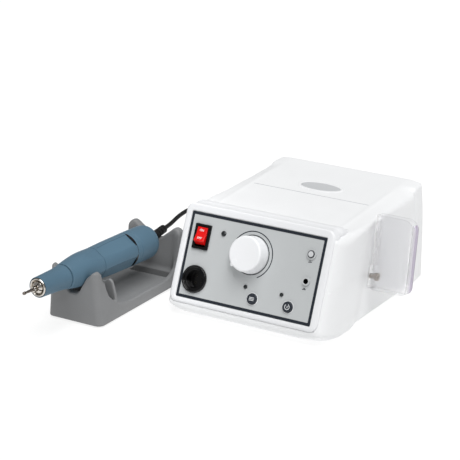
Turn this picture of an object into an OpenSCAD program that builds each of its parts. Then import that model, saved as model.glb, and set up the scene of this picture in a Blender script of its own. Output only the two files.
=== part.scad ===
// Desk-top nail drill set: control unit, clear side holder, handpiece in its cradle stand, and cord.
// Millimetres. +X right, +Y to the back, +Z up from the table top.

/* [Placement] */
// Centre line of the control unit
unit_x = 20; // [18:1:24]
// Centre of the front panel, front to back
panel_y = -18; // [-20:1:-16]
// Height of the front panel's centre above the table
panel_z = 50; // [50:1:51]
// Centre line of the cradle stand
stand_x = -104.5; // [-108:0.5:-104]

/* [Front panel] */
// Width of the grey panel
panel_w = 127; // [125:0.5:127]
// Height of the grey panel
panel_h = 72; // [70:0.5:72]
// How far the panel leans back
panel_tilt = 22.7; // [22:0.1:23]
// Thickness of the panel sheet
panel_t = 1.5; // [1.2:0.1:1.5]

/* [Case] */
// Half width of the case at its parting line
case_half = 75; // [74.5:0.5:76]
// Back of the case, behind the panel's centre
case_rear = 168; // [166:1:172]
// Wall thickness of the mouldings
wall = 2.5; // [2:0.25:2.75]
// Height of the parting line
split_z = 43; // [42:1:44]

/* [Controls] */
// Radius of the speed knob
knob_r = 15.5; // [14:0.5:16]
// Height of the speed knob
knob_h = 11.3; // [10.5:0.1:12]
// Radius of the two round keys
key_r = 4.5; // [4:0.1:4.6]
// Radius of the handpiece socket's mouth
socket_r = 7.6; // [7:0.1:8]
// Radius of the foot-switch jack's bore
jack_r = 1.8; // [1.6:0.05:2]

/* [Side holder] */
// Width of the clear pocket
holder_w = 33.7; // [30:0.1:36]
// Depth of the clear pocket, front to back
holder_d = 12; // [11.5:0.5:14]
// How far the pocket leans back
holder_lean = 9.8; // [0:0.1:15]

/* [Handpiece] */
// How far the rear end lies below the nose
hand_pitch = 2.6; // [2.4:0.1:2.8]
// How far the rear end lies towards the control unit
hand_yaw = 1.1; // [0.9:0.1:1.3]
// Upward bend of the strain relief
relief_bend = 10; // [9:0.5:11]
// Radius of the bur's shank
shank_r = 1.175; // [1.1:0.005:1.18]

/* [Cord] */
// Diameter of the cord
cord_d = 3.4; // [3:0.1:3.6]
// Radius of the coil at the middle of its turns
coil_mid = 20; // [18:0.5:20.5]

/* [Hidden] */
$fn = 48;
e = 0.01;
seat_w = -8;                       // the case's front wall lies this far behind the bezel's face
collar_w = -1.6;                   // the case's collar round the bezel ends this far behind the bezel's face
face_w = -0.8;                     // the panel's front face
back_w = face_w - panel_t;         // the panel's rear face
boss_xy = [[-62, 36], [62, 36], [-62, 150], [62, 150]];
foot_xy = [[-57, 7], [57, 7], [-57, 134], [57, 134]];
rocker_w = -3.6;                   // the rocker's pivot, behind the panel's datum
seat_z = split_z - 3.5;            // where the case screws' heads bear
// control positions on the panel: right, up
p_switch = [-49.7, 16];
p_power = [-30.4, 22.1];
p_knob = [-1.2, 10];
p_socket = [-48.8, -19.2];
p_lamp1 = [-0.7, -16.2];
p_lamp2 = [33, -16];
p_key1 = [7.6, -24.6];
p_key2 = [40.7, -24.6];
p_reset = [52.2, 20.6];
p_jack = [52.5, -1.4];
pivot = [75.3, 67, 36];            // holder screw, from the control unit's own zero
inlet_x = -36;
fuse_x = 2;
rear_z = 24.5;
hand_nose = [-105.5, -135.2, 45.6];
relief_l = 25.5;
relief_z = 151.2;                  // where the strain relief leaves the handpiece
flat_turn = 33;                    // first flat of the motor case, from the handpiece's right
coil_c = [-30, 186];
plug_at = [0, 204, 8.6];

// ---------- placing ----------
module on_unit() { translate([unit_x, panel_y, 0]) children(); }
module on_panel() { translate([unit_x, panel_y, panel_z]) rotate([90 - panel_tilt, 0, 0]) children(); }
module at(p, w = 0) { on_panel() translate([p[0], p[1], w]) children(); }
module on_stand() { translate([stand_x, -24, 0]) children(); }
module on_hand() { translate(hand_nose) rotate([-90 - hand_pitch, 0, -hand_yaw]) children(); }
module on_relief() { on_hand() translate([0, 0, relief_z]) rotate([relief_bend, 0, 0]) children(); }
module on_holder() { on_unit() translate(pivot) rotate([-holder_lean, 0, 0]) children(); }
module disc(r, a, b) { translate([0, 0, a]) cylinder(r = r, h = b - a); }
module ring(ro, ri, a, b) { difference() { disc(ro, a, b); disc(ri, a - 1, b + 1); } }
module block(x, y, a, b) { translate([-x / 2, -y / 2, a]) cube([x, y, b - a]); }
module box(lo, hi) { translate(lo) cube(hi - lo); }
// profile of (across, along) points turned about the tool's axis
module turned(pts) { rotate_extrude($fn = 72) polygon(pts); }
// outline in depth and height, run across the unit
module across(half, pts) { translate([-half, 0, 0]) rotate([90, 0, 90]) linear_extrude(2 * half) polygon(pts); }
// outline in width and height, run front to back from y0 to y1
module along(y0, y1, pts) { translate([0, y1, 0]) rotate([90, 0, 0]) linear_extrude(y1 - y0) polygon(pts); }
function mirrored(pts) = concat(pts, [for (i = [len(pts) - 1:-1:0]) [-pts[i][0], pts[i][1]]]);
function arc(c, r, a0, a1, n = 8) = [for (i = [0:n]) c + r * [cos(a0 + (a1 - a0) * i / n), sin(a0 + (a1 - a0) * i / n)]];
function round_rect(x0, y0, x1, y1, r) = concat(arc([x1 - r, y1 - r], r, 0, 90), arc([x0 + r, y1 - r], r, 90, 180),
  arc([x0 + r, y0 + r], r, 180, 270), arc([x1 - r, y0 + r], r, 270, 360));

// ---------- case ----------
// depth at height z on the plane that lies w in front of the panel's datum
function front_at(z, w) = let (y = (z - panel_z - w * sin(panel_tilt)) / cos(panel_tilt))
  y * sin(panel_tilt) - w * cos(panel_tilt);
// the outer form has a collar in front of its wall, the inner forms end at the wall
function front_w(o) = o > 0 ? seat_w - o : collar_w;
top_front = front_at(82, collar_w);
function top_at(y) = 82 - (y - top_front) / (45 - top_front);
function side_profile(o) = let (f = front_at(10, front_w(o))) [
  [f + 10, 2 + o], [f + 6.8, 2.6 + o], [f + 2.3, 4.6 + o], [f + 0.4, 7 + o], [f, 10],
  [front_at(82 - o, front_w(o)), 82 - o], [45, 81 - o], [99, 84 - o], [case_rear - 6 - o, 88 - o],
  [case_rear - 1.8 - o, 86.4 - o], [case_rear - o, 82.6 - o], [case_rear - o, 2 + o]];
function end_profile(o) = mirrored([[70 - o, 2 + o], [case_half - 2 - o, 5 + o], [case_half - o, split_z],
  [case_half - 1.6 - o, 77 - o / 2], [case_half - 3.2 - o, 81.4 - o], [case_half - 9 - o, 84.6 - o], [case_half - 18 - o, 87.2 - o],
  [case_half - 30 - o, 89.5 - o]]);
function nose_plan(o) = mirrored(concat([for (i = [0:8]) [case_half - 5.4 - o + 6.6 * sin(i * 90 / 8),
  -27 + (27 + front_w(o)) * cos(i * 90 / 8)]], [[case_half + 1.2 - o, -260]]));
function rear_plan(o) = mirrored(concat(arc([case_half - 19, 5], 21 - o, -90, 0),
  arc([case_half - 2.5 - o, case_rear - 3.5 - o], 3.5, 0, 90)));
module case_form(o) {
  intersection() {
    across(85, side_profile(o));
    along(-40, 200, end_profile(o));
    translate([0, 0, panel_z]) rotate([90 - panel_tilt, 0, 0]) translate([0, 120, 0]) rotate([90, 0, 0])
      linear_extrude(240) polygon(nose_plan(o));
    linear_extrude(120) polygon(rear_plan(o));
  }
}
module bezel_pocket() { translate([0, 0, panel_z]) rotate([90 - panel_tilt, 0, 0]) translate([0, 0, seat_w]) linear_extrude(20)
  polygon(round_rect(-69.8, -42.2, 69.8, 42.7, 7.2)); }
module panel_window() { translate([0, 0, panel_z]) rotate([90 - panel_tilt, 0, 0]) block(121, 66, -14, 2); }
module top_oval(a, b, grow = 0) {
  translate([0, 116, 85.1]) rotate([atan(4 / 61), 0, 0]) translate([0, 0, a])
    linear_extrude(b - a) polygon([for (i = [0:47]) [(18.5 + grow) * cos(i * 7.5), (7.5 + grow) * sin(i * 7.5)]]);
}

module lower_case() {
  color("white") on_unit() difference() {
    union() {
      difference() { case_form(0); case_form(wall); }
      intersection() {
        case_form(wall / 2);
        union() {
          for (p = boss_xy) translate([p[0], p[1], 2]) cylinder(r = 5, h = split_z - 2);
          for (x = [-61.5, 1.5]) translate([x, 105, 3]) cylinder(r = 4, h = 7.5);
          translate([62, pivot[1], pivot[2]]) rotate([0, 90, 0]) cylinder(r = 6, h = 12);
        }
      }
    }
    box([-90, -60, split_z], [90, 220, 120]);
    panel_window();
    bezel_pocket();
    for (p = boss_xy) translate([p[0], p[1], 0]) { disc(3.3, 0, seat_z); disc(1.6, seat_z - 1, split_z + 1); }
    for (x = [-61.5, 1.5]) translate([x, 105, 0]) disc(1.5, 2.5, 12);
    for (p = foot_xy) translate([p[0], p[1], 0]) disc(6.5, 0, 2.6);
    box([-62, case_rear - 6, 9], [38, case_rear + 2, 40]);
    translate([64, pivot[1], pivot[2]]) rotate([0, 90, 0]) cylinder(r = 2.03, h = 20);
  }
}
module upper_case() {
  color("white") on_unit() difference() {
    union() {
      difference() { case_form(0); case_form(wall); }
      intersection() {
        case_form(wall / 2);
        for (p = boss_xy) translate([p[0], p[1], split_z]) cylinder(r = 4, h = 50);
      }
    }
    box([-90, -60, -5], [90, 220, split_z]);
    panel_window();
    bezel_pocket();
    for (p = boss_xy) translate([p[0], p[1], 0]) disc(1.5, split_z - 1, seat_z + 12);
    top_oval(-0.7, 6, 0.1);
  }
}
// height where the plane of the case's front wall meets the top of the case
brow_k = 1 / (45 - top_front);
brow_z = (82 + brow_k * (panel_z * tan(panel_tilt) + seat_w / cos(panel_tilt) + top_front)) / (1 + brow_k * tan(panel_tilt));
module front_bezel() {
  color("white") {
    on_panel() difference() {
      translate([0, 0, seat_w]) linear_extrude(-seat_w) polygon(round_rect(-69.6, -42, 69.6, 42.5, 7));
      block(panel_w + 0.2, panel_h + 0.2, back_w, 2);
      block(121, 66, seat_w - 1, 2);
    }
    on_unit() across(63, [[front_at(brow_z, seat_w), brow_z], [front_at(86.1, seat_w), 86.1], [27, 87.3], [33, 86.6], [38, 84.3],
      [44.5, top_at(44.5)]]);
  }
}
module front_panel() {
  color([0.76, 0.77, 0.78]) on_panel() difference() {
    block(panel_w, panel_h, back_w, face_w);
    translate([p_switch[0], p_switch[1], 0]) block(13.2, 19.2, -4, 2);
    for (h = [[p_power, 2.3], [p_knob, 3.55], [p_socket, 9.6], [p_lamp1, 1.75], [p_lamp2, 1.75],
              [p_key1, key_r + 0.08], [p_key2, key_r + 0.08], [p_reset, 3.95], [p_jack, 3.05]])
      translate([h[0][0], h[0][1], 0]) disc(h[1], -4, 2);
  }
}
module rear_panel() {
  color([0.75, 0.76, 0.77]) on_unit() difference() {
    box([-62, case_rear - wall, 9], [38, case_rear, 40]);
    box([inlet_x - 13.6, case_rear - 6, rear_z - 9.8], [inlet_x + 13.6, case_rear + 2, rear_z + 9.8]);
    translate([fuse_x, case_rear - 6, rear_z]) rotate([-90, 0, 0]) cylinder(r = 6.1, h = 10);
  }
}
module rubber_feet() {
  color([0.12, 0.12, 0.12]) on_unit() for (p = foot_xy) translate([p[0], p[1], 0])
    turned([[0, 0], [5.6, 0], [6.3, 0.5], [6.45, 2.6], [0, 2.6]]);
}
module top_plate() { color([0.7, 0.71, 0.72]) on_unit() top_oval(-0.7, 0.5); }
module pan_screw() { disc(2.8, 0, 2.2); disc(1.48, -10, 0.1); }
module pan_screws() {
  color("silver") on_unit() {
    for (p = boss_xy) translate([p[0], p[1], seat_z]) rotate([180, 0, 0]) pan_screw();
    for (x = [-61.5, 1.5]) translate([x, 105, 12.5]) pan_screw();
  }
}

// ---------- controls ----------
module switch_body() {
  color([0.06, 0.06, 0.06]) at(p_switch) difference() {
    union() { block(15, 21, face_w, 1.1); block(13, 19, -20, face_w + e); }
    block(10, 16.4, -9, 2);
  }
}
module power_rocker() {
  color([0.85, 0.08, 0.06]) at(p_switch, rocker_w) rotate([-16, 0, 0]) translate([-4.7, 0, 0]) rotate([90, 0, 90])
    linear_extrude(9.4) polygon([[-7.3, 1.5], [-6, 7.3], [-3, 6.6], [0, 6.3], [3, 6.6], [6, 7.3], [7.3, 1.5], [6, -1.5], [2, -3.5], [-2, -3.5], [-6, -1.5]]);
}
module speed_pot() {
  color([0.6, 0.62, 0.62]) at(p_knob) difference() {
    union() { disc(8.5, -11, back_w); disc(3.5, back_w - e, 4); }
    disc(3.05, -9, 5);
  }
}
module pot_shaft() { color("silver") at(p_knob) disc(3, -8.8, 9.4); }
module pot_nut() {
  color("silver") at(p_knob) difference() { translate([0, 0, face_w]) cylinder(r = 6, h = 2.1, $fn = 6); disc(3.52, -2, 3); }
}
module speed_knob() {
  color([0.95, 0.95, 0.95]) at(p_knob) difference() {
    union() {
      turned([[0, -0.3], [knob_r, -0.3], [knob_r - 0.2, 2], [knob_r - 0.8, knob_h - 2], [knob_r - 1.4, knob_h - 0.6], [knob_r - 2.2, knob_h], [0, knob_h]]);
      rotate([0, 0, 226]) translate([knob_r - 6, -1.2, knob_h - 3]) cube([7, 2.4, 3.4]);
    }
    disc(7, -1, 4.6);
    disc(3.02, 4, 9.4);
  }
}
module handpiece_socket() {
  color([0.08, 0.08, 0.08]) at(p_socket) difference() {
    union() {
      turned([[0, face_w], [11.5, face_w], [11.5, 0.5], [10.9, 1.3], [10.2, 1.5], [9.7, 1.2], [9.5, -0.4], [0, -0.4]]);
      disc(9.5, -24, face_w + e);
    }
    disc(socket_r, -8, 2);
    for (a = [45:90:315]) rotate([0, 0, a]) translate([4, 0, 0]) disc(1.2, -22, -7);
  }
}
module socket_contacts() {
  color("gold") at(p_socket) for (a = [45:90:315]) rotate([0, 0, a]) translate([4, 0, 0]) difference() {
    disc(1.18, -21.9, -8.1);
    disc(0.75, -16, -8);
  }
}
module lamp(r) { turned([[0, -11], [r, -11], [r, -0.4], [r * 0.92, -0.05], [r * 0.7, 0.25], [r * 0.38, 0.45], [0, 0.5]]); }
module indicator_lamps() {
  color([0.25, 0.27, 0.28]) { at(p_power) lamp(2.2); at(p_lamp1) lamp(1.65); at(p_lamp2) lamp(1.65); }
}
module key_cap() {
  turned([[0, -5.7], [2.5, -5.7], [2.5, -3.6], [5.6, -3.6], [5.6, back_w - 0.3], [key_r, back_w - 0.3], [key_r, 0.2], [key_r - 0.4, 0.6],
    [key_r - 1.2, 0.7], [0, 0.5]]);
}
module mode_button() { color([0.2, 0.22, 0.25]) at(p_key1) key_cap(); }
module direction_button() { color([0.2, 0.22, 0.25]) at(p_key2) key_cap(); }
module button_switches() {
  color([0.1, 0.1, 0.1]) for (p = [p_key1, p_key2]) at(p) { block(6, 6, -11, -7.6); disc(1.6, -7.7, -6.5); }
}
module control_board() {
  color([0.1, 0.4, 0.2]) on_panel() translate([-36, -31, -12.6]) cube([80, 62, 1.6]);
}
module breaker_body() {
  color([0.12, 0.12, 0.12]) at(p_reset) difference() {
    union() { block(12, 14, -24, back_w); disc(3.9, back_w - e, 0.2); }
    disc(3, -8, 1);
  }
}
module reset_button() { color("white") at(p_reset) turned([[0, -5.5], [2.94, -5.5], [2.94, 0.8], [2.6, 1.2], [0, 1.4]]); }
module foot_jack() {
  color([0.06, 0.06, 0.06]) at(p_jack) difference() {
    union() { block(9, 9, -15, back_w); disc(3, back_w - e, 0.8); }
    disc(jack_r, -12, 2);
  }
}

// ---------- inside and back ----------
module heat_sink() {
  color("silver") on_unit() difference() {
    box([22, 95, 2 + wall], [60, 135, 34]);
    for (i = [0:5]) box([27 + i * 5.6, 94, 9], [30.4 + i * 5.6, 136, 35]);
  }
}
module transformer_core() {
  color([0.35, 0.36, 0.38]) on_unit() difference() {
    union() { box([-57, 91, 10.5], [-3, 119, 55.5]); box([-66, 95, 10.5], [6, 115, 12.5]); }
    for (x = [-48, -21]) box([x, 90, 19.5], [x + 9, 120, 46.5]);
    for (x = [-61.5, 1.5]) translate([x, 105, 0]) disc(1.6, 9, 14);
  }
}
module transformer_winding() {
  color([0.7, 0.45, 0.2]) on_unit() difference() {
    box([-47.8, 81, 19.7], [-12.2, 129, 46.3]);
    box([-39, 91, 19], [-21, 119, 47]);
  }
}
module inlet_shape(x, z, y0, y1) {
  along(y0, y1, [[-x, -z + 4], [-x + 4, -z], [x - 4, -z], [x, -z + 4], [x, z], [-x, z]]);
}
module mains_inlet() {
  color([0.08, 0.08, 0.08]) on_unit() translate([inlet_x, case_rear, rear_z]) difference() {
    union() { box([-15.2, 0, -11.2], [15.2, 2, 11.2]); box([-13.5, -20, -9.7], [13.5, 0.01, 9.7]); }
    inlet_shape(12, 8.2, -15, 3);
    for (p = [[0, 3.4], [-7, -1.6], [7, -1.6]]) translate([p[0], 0, p[1]]) box([-1, -22, -2], [1, -14, 2]);
  }
}
module inlet_pins() {
  color("silver") on_unit() translate([inlet_x, case_rear, rear_z])
    for (p = [[0, 3.4], [-7, -1.6], [7, -1.6]]) translate([p[0], 0, p[1]]) box([-0.98, -26, -1.98], [0.98, -3, 1.98]);
}
module to_rear() { on_unit() translate([fuse_x, case_rear, rear_z]) rotate([-90, 0, 0]) children(); }
module fuse_holder() {
  color([0.1, 0.1, 0.1]) to_rear() difference() {
    union() { disc(7.4, 0, 1.5); disc(6, -34, e); }
    disc(4.1, -31, 3);
  }
}
module fuse_cap() {
  color([0.1, 0.1, 0.1]) to_rear() difference() {
    union() { disc(6, 1.8, 3); disc(4, -6, 2); }
    translate([0, 0, 3]) cube([8, 1.2, 1.6], center = true);
    disc(2.62, -7, -3);
  }
}
module fuse() { color([0.85, 0.9, 0.9]) to_rear() disc(2.6, -26, -3.02); }

// ---------- clear side holder ----------
module holder_outline(x0, x1, z0, z1, rb, rt) {
  polygon(concat([[x0, z1], [x0, z0 + 4]], arc([x0 + 4, z0 + 4], 4, 180, 270), arc([x1 - rb, z0 + rb], rb, 270, 360),
    arc([x1 - rt, z1 - rt], rt, 0, 90)));
}
module clear_holder() {
  color([0.9, 0.9, 0.95, 0.4]) on_holder() difference() {
    union() {
      translate([0, holder_d / 2, 0]) rotate([90, 0, 0]) linear_extrude(holder_d) holder_outline(2, 2 + holder_w, -10.5, 52, 6, 9.5);
      rotate([0, 90, 0]) disc(10.5, 0.1, 2.1);
    }
    box([4, -holder_d / 2 + 2, -8.5], [holder_w, holder_d / 2 - 2, 60]);
    rotate([0, 90, 0]) disc(2.06, -1, 5);
  }
}
module holder_screw() {
  color("silver") on_unit() translate(pivot) rotate([0, 90, 0]) difference() {
    union() { disc(3.4, 4.3, 6.7); disc(2, -10, 4.4); }
    translate([0, 0, 6.7]) cube([1, 5, 1.4], center = true);
    translate([0, 0, 6.7]) cube([5, 1, 1.4], center = true);
  }
}

// ---------- stand ----------
front_wall = mirrored([[27, 1], [27, 40], [24.6, 43.2], [23.2, 45.7], [20.9, 46.9], [19, 46.1], [17.7, 44.8], [13.6, 41], [11.5, 38.8],
  [9.6, 36], [8.4, 33], [7, 30.2], [5.2, 27.8], [3, 26.2]]);
rear_wall = mirrored([[27, 1], [27, 42], [26.2, 45.6], [24, 48.2], [21.4, 49], [18.8, 48], [15.5, 45.2], [8, 39.4], [4.5, 37.2],
  [2, 36.6]]);
saddle = mirrored([[25.8, 4], [26.2, 17.5], [23.9, 25], [21.9, 31.4], [20.6, 33.2], [18.4, 33.8], [16.4, 32.8], [14.2, 31.2], [6, 31.2]]);
side_web = [[-60, 1], [-60, 44.4], [-55.6, 44.4], [-54.4, 41], [-53.8, 36], [-52.4, 29.5], [-49.6, 22.8], [-45, 18.4], [-40, 15], [-34, 12.2], [-27, 10.5],
  [-20, 10], [30, 10], [36, 11], [41, 12.8], [46, 16.2], [50, 21.5], [52, 28], [53.2, 36], [54, 43], [57, 43], [57, 1]];
// room that the handpiece and its strain relief need in the cradle
module hand_room() {
  on_hand() turned([[0, 28], [11, 28], [11, 33], [12.4, 41.7], [13.8, 50.9], [14.4, 62], [14.9, 91.8], [15.4, 117], [15.4, 154.4], [0, 154.4]]);
  on_relief() disc(4.1, -2, 34);
}
module stand() {
  color([0.6, 0.61, 0.63]) difference() {
    on_stand() difference() {
      intersection() {
        linear_extrude(60) polygon(round_rect(-27, -66, 27, 66, 6));
        union() {
          box([-30, -70, 1], [30, 70, 8]);
          for (s = [0, 1]) mirror([s, 0, 0]) translate([22.8, 0, 0]) rotate([90, 0, 90]) linear_extrude(7.4) polygon(side_web);
          along(-70, -59, front_wall);
          intersection() { along(53, 70, rear_wall); across(30, [[52, 1], [53, 52], [59.5, 52], [66, 9], [66, 1]]); }
          along(-41.6, -38.8, saddle);
          box([-27, 52, 1], [27, 56, 12]);
        }
      }
      box([-19, 41.5, 3], [19, 49.5, 9]);
      // the front end narrows upwards
      for (s = [0, 1]) mirror([s, 0, 0]) translate([27.2, -70, 0]) rotate([0, -4.4, 0]) cube([12, 60, 60]);
      for (x = [-20, 20], y = [-58, 58]) translate([x, y, 0]) disc(4.05, 0, 1.8);
    }
    hand_room();
  }
}
module stand_pads() { color([0.2, 0.2, 0.2]) on_stand() for (x = [-20, 20], y = [-58, 58]) translate([x, y, 0]) disc(4, 0, 1.8); }

// ---------- handpiece ----------
hand_blue = [0.42, 0.56, 0.66];
module nose_cone() {
  color(hand_blue) on_hand() turned([[6.6, 3.4], [8.5, 3.4], [8.9, 13], [9.35, 23.6], [10.3, 32.8], [9, 32.8], [9, 78.4], [6.6, 78.4]]);
}
module twist_sleeve() {
  color(hand_blue) on_hand() turned([[9.08, 33.2], [10.45, 33.2], [11, 36], [11.9, 41.7], [13.3, 50.9], [13.8, 56], [13.95, 62], [13.75, 72.8], [9.08, 72.8]]);
}
module motor_case() {
  color(hand_blue) on_hand() difference() {
    turned([[9.02, 73.2], [13.75, 73.2], [14.4, 91.8], [14.75, 118.9], [12, 118.9], [12, 83.5], [6.02, 83.5], [6.02, 78.5], [9.02, 78.5]]);
    ring(13.75, 11.5, 115.9, 118.8);
    for (a = [0:90:270]) rotate([0, 0, a + flat_turn]) {
      translate([13.5, -12, 116.6]) rotate([0, -0.93, 0]) translate([0, 0, -60]) cube([6, 24, 60]);
      box([13, -5.9, 116], [20, 5.9, 118.7]);
    }
  }
}
module slot_ring() { color([0.04, 0.04, 0.04]) on_hand() ring(13.7, 12.05, 115.95, 118.75); }
module rear_cap() {
  color(hand_blue) on_hand() turned([[10.5, 117], [11.95, 117], [11.95, 119.2], [14.78, 119.2], [14.8, 142], [14.55, 147.2], [13.7, 149.8],
    [11.8, 151.2], [3.6, 151.2], [3.6, 146], [12.2, 146], [12.2, 131.2], [6.02, 131.2], [6.02, 126.5], [12.2, 126.5], [12.2, 121], [10.5, 121]]);
}
module nose_ring() {
  color("silver") on_hand() turned([[4.6, 0.9], [6, 0], [7.6, 0], [8.3, 0.8], [8.4, 3.4], [4.6, 3.4]]);
}
module collet() {
  color("silver") on_hand() difference() {
    turned([[1.2, -5.8], [2.1, -5.8], [2.5, -5.2], [2.6, -1.4], [4.2, -0.2], [4.2, 3.9], [1.95, 3.9], [1.95, 28], [1.2, 28]]);
    for (a = [0, 90]) rotate([0, 0, a + 20]) box([-5, -0.4, -7], [5, 0.4, 2.4]);
  }
}
module bur() {
  color("silver") on_hand() turned([[0, -17], [0.8, -16.7], [1.25, -16], [1.25, -15], [0.9, -14.2], [0.9, -13], [shank_r, -12], [shank_r, 24], [0, 24]]);
}
module spindle() { color("silver") on_hand() difference() { disc(3, 4, 62); disc(2, 3, 40); } }
module spindle_bearings() { color("silver") on_hand() { ring(6.55, 3.05, 8, 12); ring(6.55, 3.05, 56, 60); } }
module drive_coupling() { color([0.2, 0.2, 0.2]) on_hand() disc(4.5, 62, 72); }
module motor_shaft() { color("silver") on_hand() disc(2, 72, 133); }
module armature() { color([0.5, 0.35, 0.2]) on_hand() ring(9, 2.02, 87, 113); }
module commutator() { color([0.75, 0.45, 0.25]) on_hand() ring(4.6, 2.02, 117.5, 124.5); }
module magnets() {
  color([0.3, 0.3, 0.32]) on_hand() difference() { ring(11.9, 9.6, 85, 114); translate([0, 0, 99]) cube([4, 40, 40], center = true); }
}
module motor_bearings() { color("silver") on_hand() { ring(6, 2.05, 79, 83); ring(6, 2.05, 127, 131); } }
module brushes() { color([0.15, 0.15, 0.15]) on_hand() for (a = [0, 180]) rotate([0, 0, a]) box([4.9, -2, 121.2], [12, 2, 124.2]); }
module strain_relief() {
  color([0.05, 0.05, 0.05]) union() {
    on_hand() disc(3.55, 144, 151.5);
    on_relief() turned([[0, -0.6], [3.4, -0.6], [3.4, 2.6], for (i = [0:4]) each [[3.7, 3.2 + i * 4], [3.7, 5.6 + i * 4],
      [3.2, 6 + i * 4], [3.2, 6.8 + i * 4]], [3.7, 23.4], [3.5, 25], [2.6, relief_l], [0, relief_l]]);
  }
}

// ---------- cord ----------
// point at the mouth of the strain relief
function turn_x(v, a) = [v[0], v[1] * cos(a) - v[2] * sin(a), v[1] * sin(a) + v[2] * cos(a)];
function turn_z(v, a) = [v[0] * cos(a) - v[1] * sin(a), v[0] * sin(a) + v[1] * cos(a), v[2]];
function hand_point(v) = hand_nose + turn_z(turn_x(v, -90 - hand_pitch), -hand_yaw);
function relief_point(l) = hand_point([0, 0, relief_z] + turn_x([0, 0, l], relief_bend));
lead_route = [relief_point(relief_l + 0.4), relief_point(relief_l + 10), [-102.2, 64, 46.2], [-101.8, 77, 47.6], [-101, 90, 46.8],
  [-99.6, 103, 43.8], [-97.4, 116, 38.9], [-94.5, 128, 32.6], [-91, 140, 25.4], [-86.5, 152, 18], [-80.5, 164.5, 11.2], [-73.5, 177, 6.2],
  [-66, 188, 3.2], [-57, 198, 2.1], [-48, 205, 1.9], [-40, 209, 1.9]];
tail_route = [[-36, 205.6, 8], [-26, 206, 8.1], [-16, 205.6, 8.2], [-7, 204.6, 8.5], [plug_at[0], plug_at[1], plug_at[2]]];
function unit(v) = v / norm(v);
function slope(p, i) = unit(p[min(i + 1, len(p) - 1)] - p[max(i - 1, 0)]);
// a route point between two given ones, on a smooth curve
function between(p, i, t) = let (a = p[max(i - 1, 0)], b = p[i], c = p[i + 1], d = p[min(i + 2, len(p) - 1)])
  0.5 * (2 * b + (c - a) * t + (2 * a - 5 * b + 4 * c - d) * t * t + (3 * b - a - 3 * c + d) * t * t * t);
function fine(p, n) = concat([for (i = [0:len(p) - 2]) for (k = [0:n - 1]) between(p, i, k / n)], [p[len(p) - 1]]);
module tube(route, r, sides = 8) {
  n = len(route);
  pts = [for (i = [0:n - 1]) let (t = slope(route, i), s = unit(cross(t, [0, 0, 1])), u = cross(s, t))
    for (k = [0:sides - 1]) route[i] + r * (s * cos(k * 360 / sides) + u * sin(k * 360 / sides))];
  walls = [for (i = [0:n - 2]) for (k = [0:sides - 1]) let (a = i * sides + k, b = i * sides + (k + 1) % sides)
    each [[a, a + sides, b + sides], [a, b + sides, b]]];
  ends = concat([for (k = [1:sides - 2]) [0, k, k + 1]],
    [for (k = [1:sides - 2]) let (o = (n - 1) * sides) [o, o + k + 1, o + k]]);
  polyhedron(pts, concat(walls, ends));
}
module cord_lead() { color([0.05, 0.05, 0.05]) tube(fine(lead_route, 2), cord_d / 2); }
module cord_coil() {
  color([0.05, 0.05, 0.05]) translate([coil_c[0], coil_c[1], 0]) rotate_extrude($fn = 72)
    polygon([[coil_mid - 7, 1.2], [coil_mid - 5.8, 0.1], [coil_mid + 5.8, 0.1], [coil_mid + 7, 1.2], [coil_mid + 7, 3.6], [coil_mid + 4, 9.8], [coil_mid - 4, 9.8],
      [coil_mid - 7, 3.6]]);
}
module cord_tail() { color([0.05, 0.05, 0.05]) tube(fine(tail_route, 2), cord_d / 2); }
module on_plug() { translate(plug_at) rotate([0, 90, 0]) children(); }
module plug_body() {
  color([0.06, 0.06, 0.06]) on_plug() difference() {
    turned([[0, 0], [2.6, 0], [4, 12], [4.6, 14], [7.6, 15], [8.3, 16.5], [8.3, 30], [7.9, 31], [8.3, 32], [8.3, 38], [7.4, 38.6], [7.4, 46], [0, 46]]);
    for (a = [45:90:315]) rotate([0, 0, a]) translate([4, 0, 0]) disc(0.7, 40, 47);
  }
}
module plug_pins() { color("gold") on_plug() for (a = [45:90:315]) rotate([0, 0, a]) translate([4, 0, 0]) disc(0.68, 40.1, 52); }

lower_case();
upper_case();
front_bezel();
front_panel();
rear_panel();
switch_body();
power_rocker();
speed_pot();
pot_shaft();
pot_nut();
speed_knob();
handpiece_socket();
socket_contacts();
indicator_lamps();
mode_button();
direction_button();
button_switches();
control_board();
reset_button();
breaker_body();
foot_jack();
heat_sink();
transformer_core();
transformer_winding();
pan_screws();
mains_inlet();
inlet_pins();
fuse_holder();
fuse_cap();
fuse();
rubber_feet();
top_plate();
clear_holder();
holder_screw();
stand();
stand_pads();
nose_cone();
twist_sleeve();
motor_case();
slot_ring();
rear_cap();
nose_ring();
collet();
bur();
spindle();
spindle_bearings();
drive_coupling();
motor_shaft();
armature();
commutator();
magnets();
motor_bearings();
brushes();
strain_relief();
cord_lead();
cord_coil();
cord_tail();
plug_body();
plug_pins();
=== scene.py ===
import math

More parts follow.
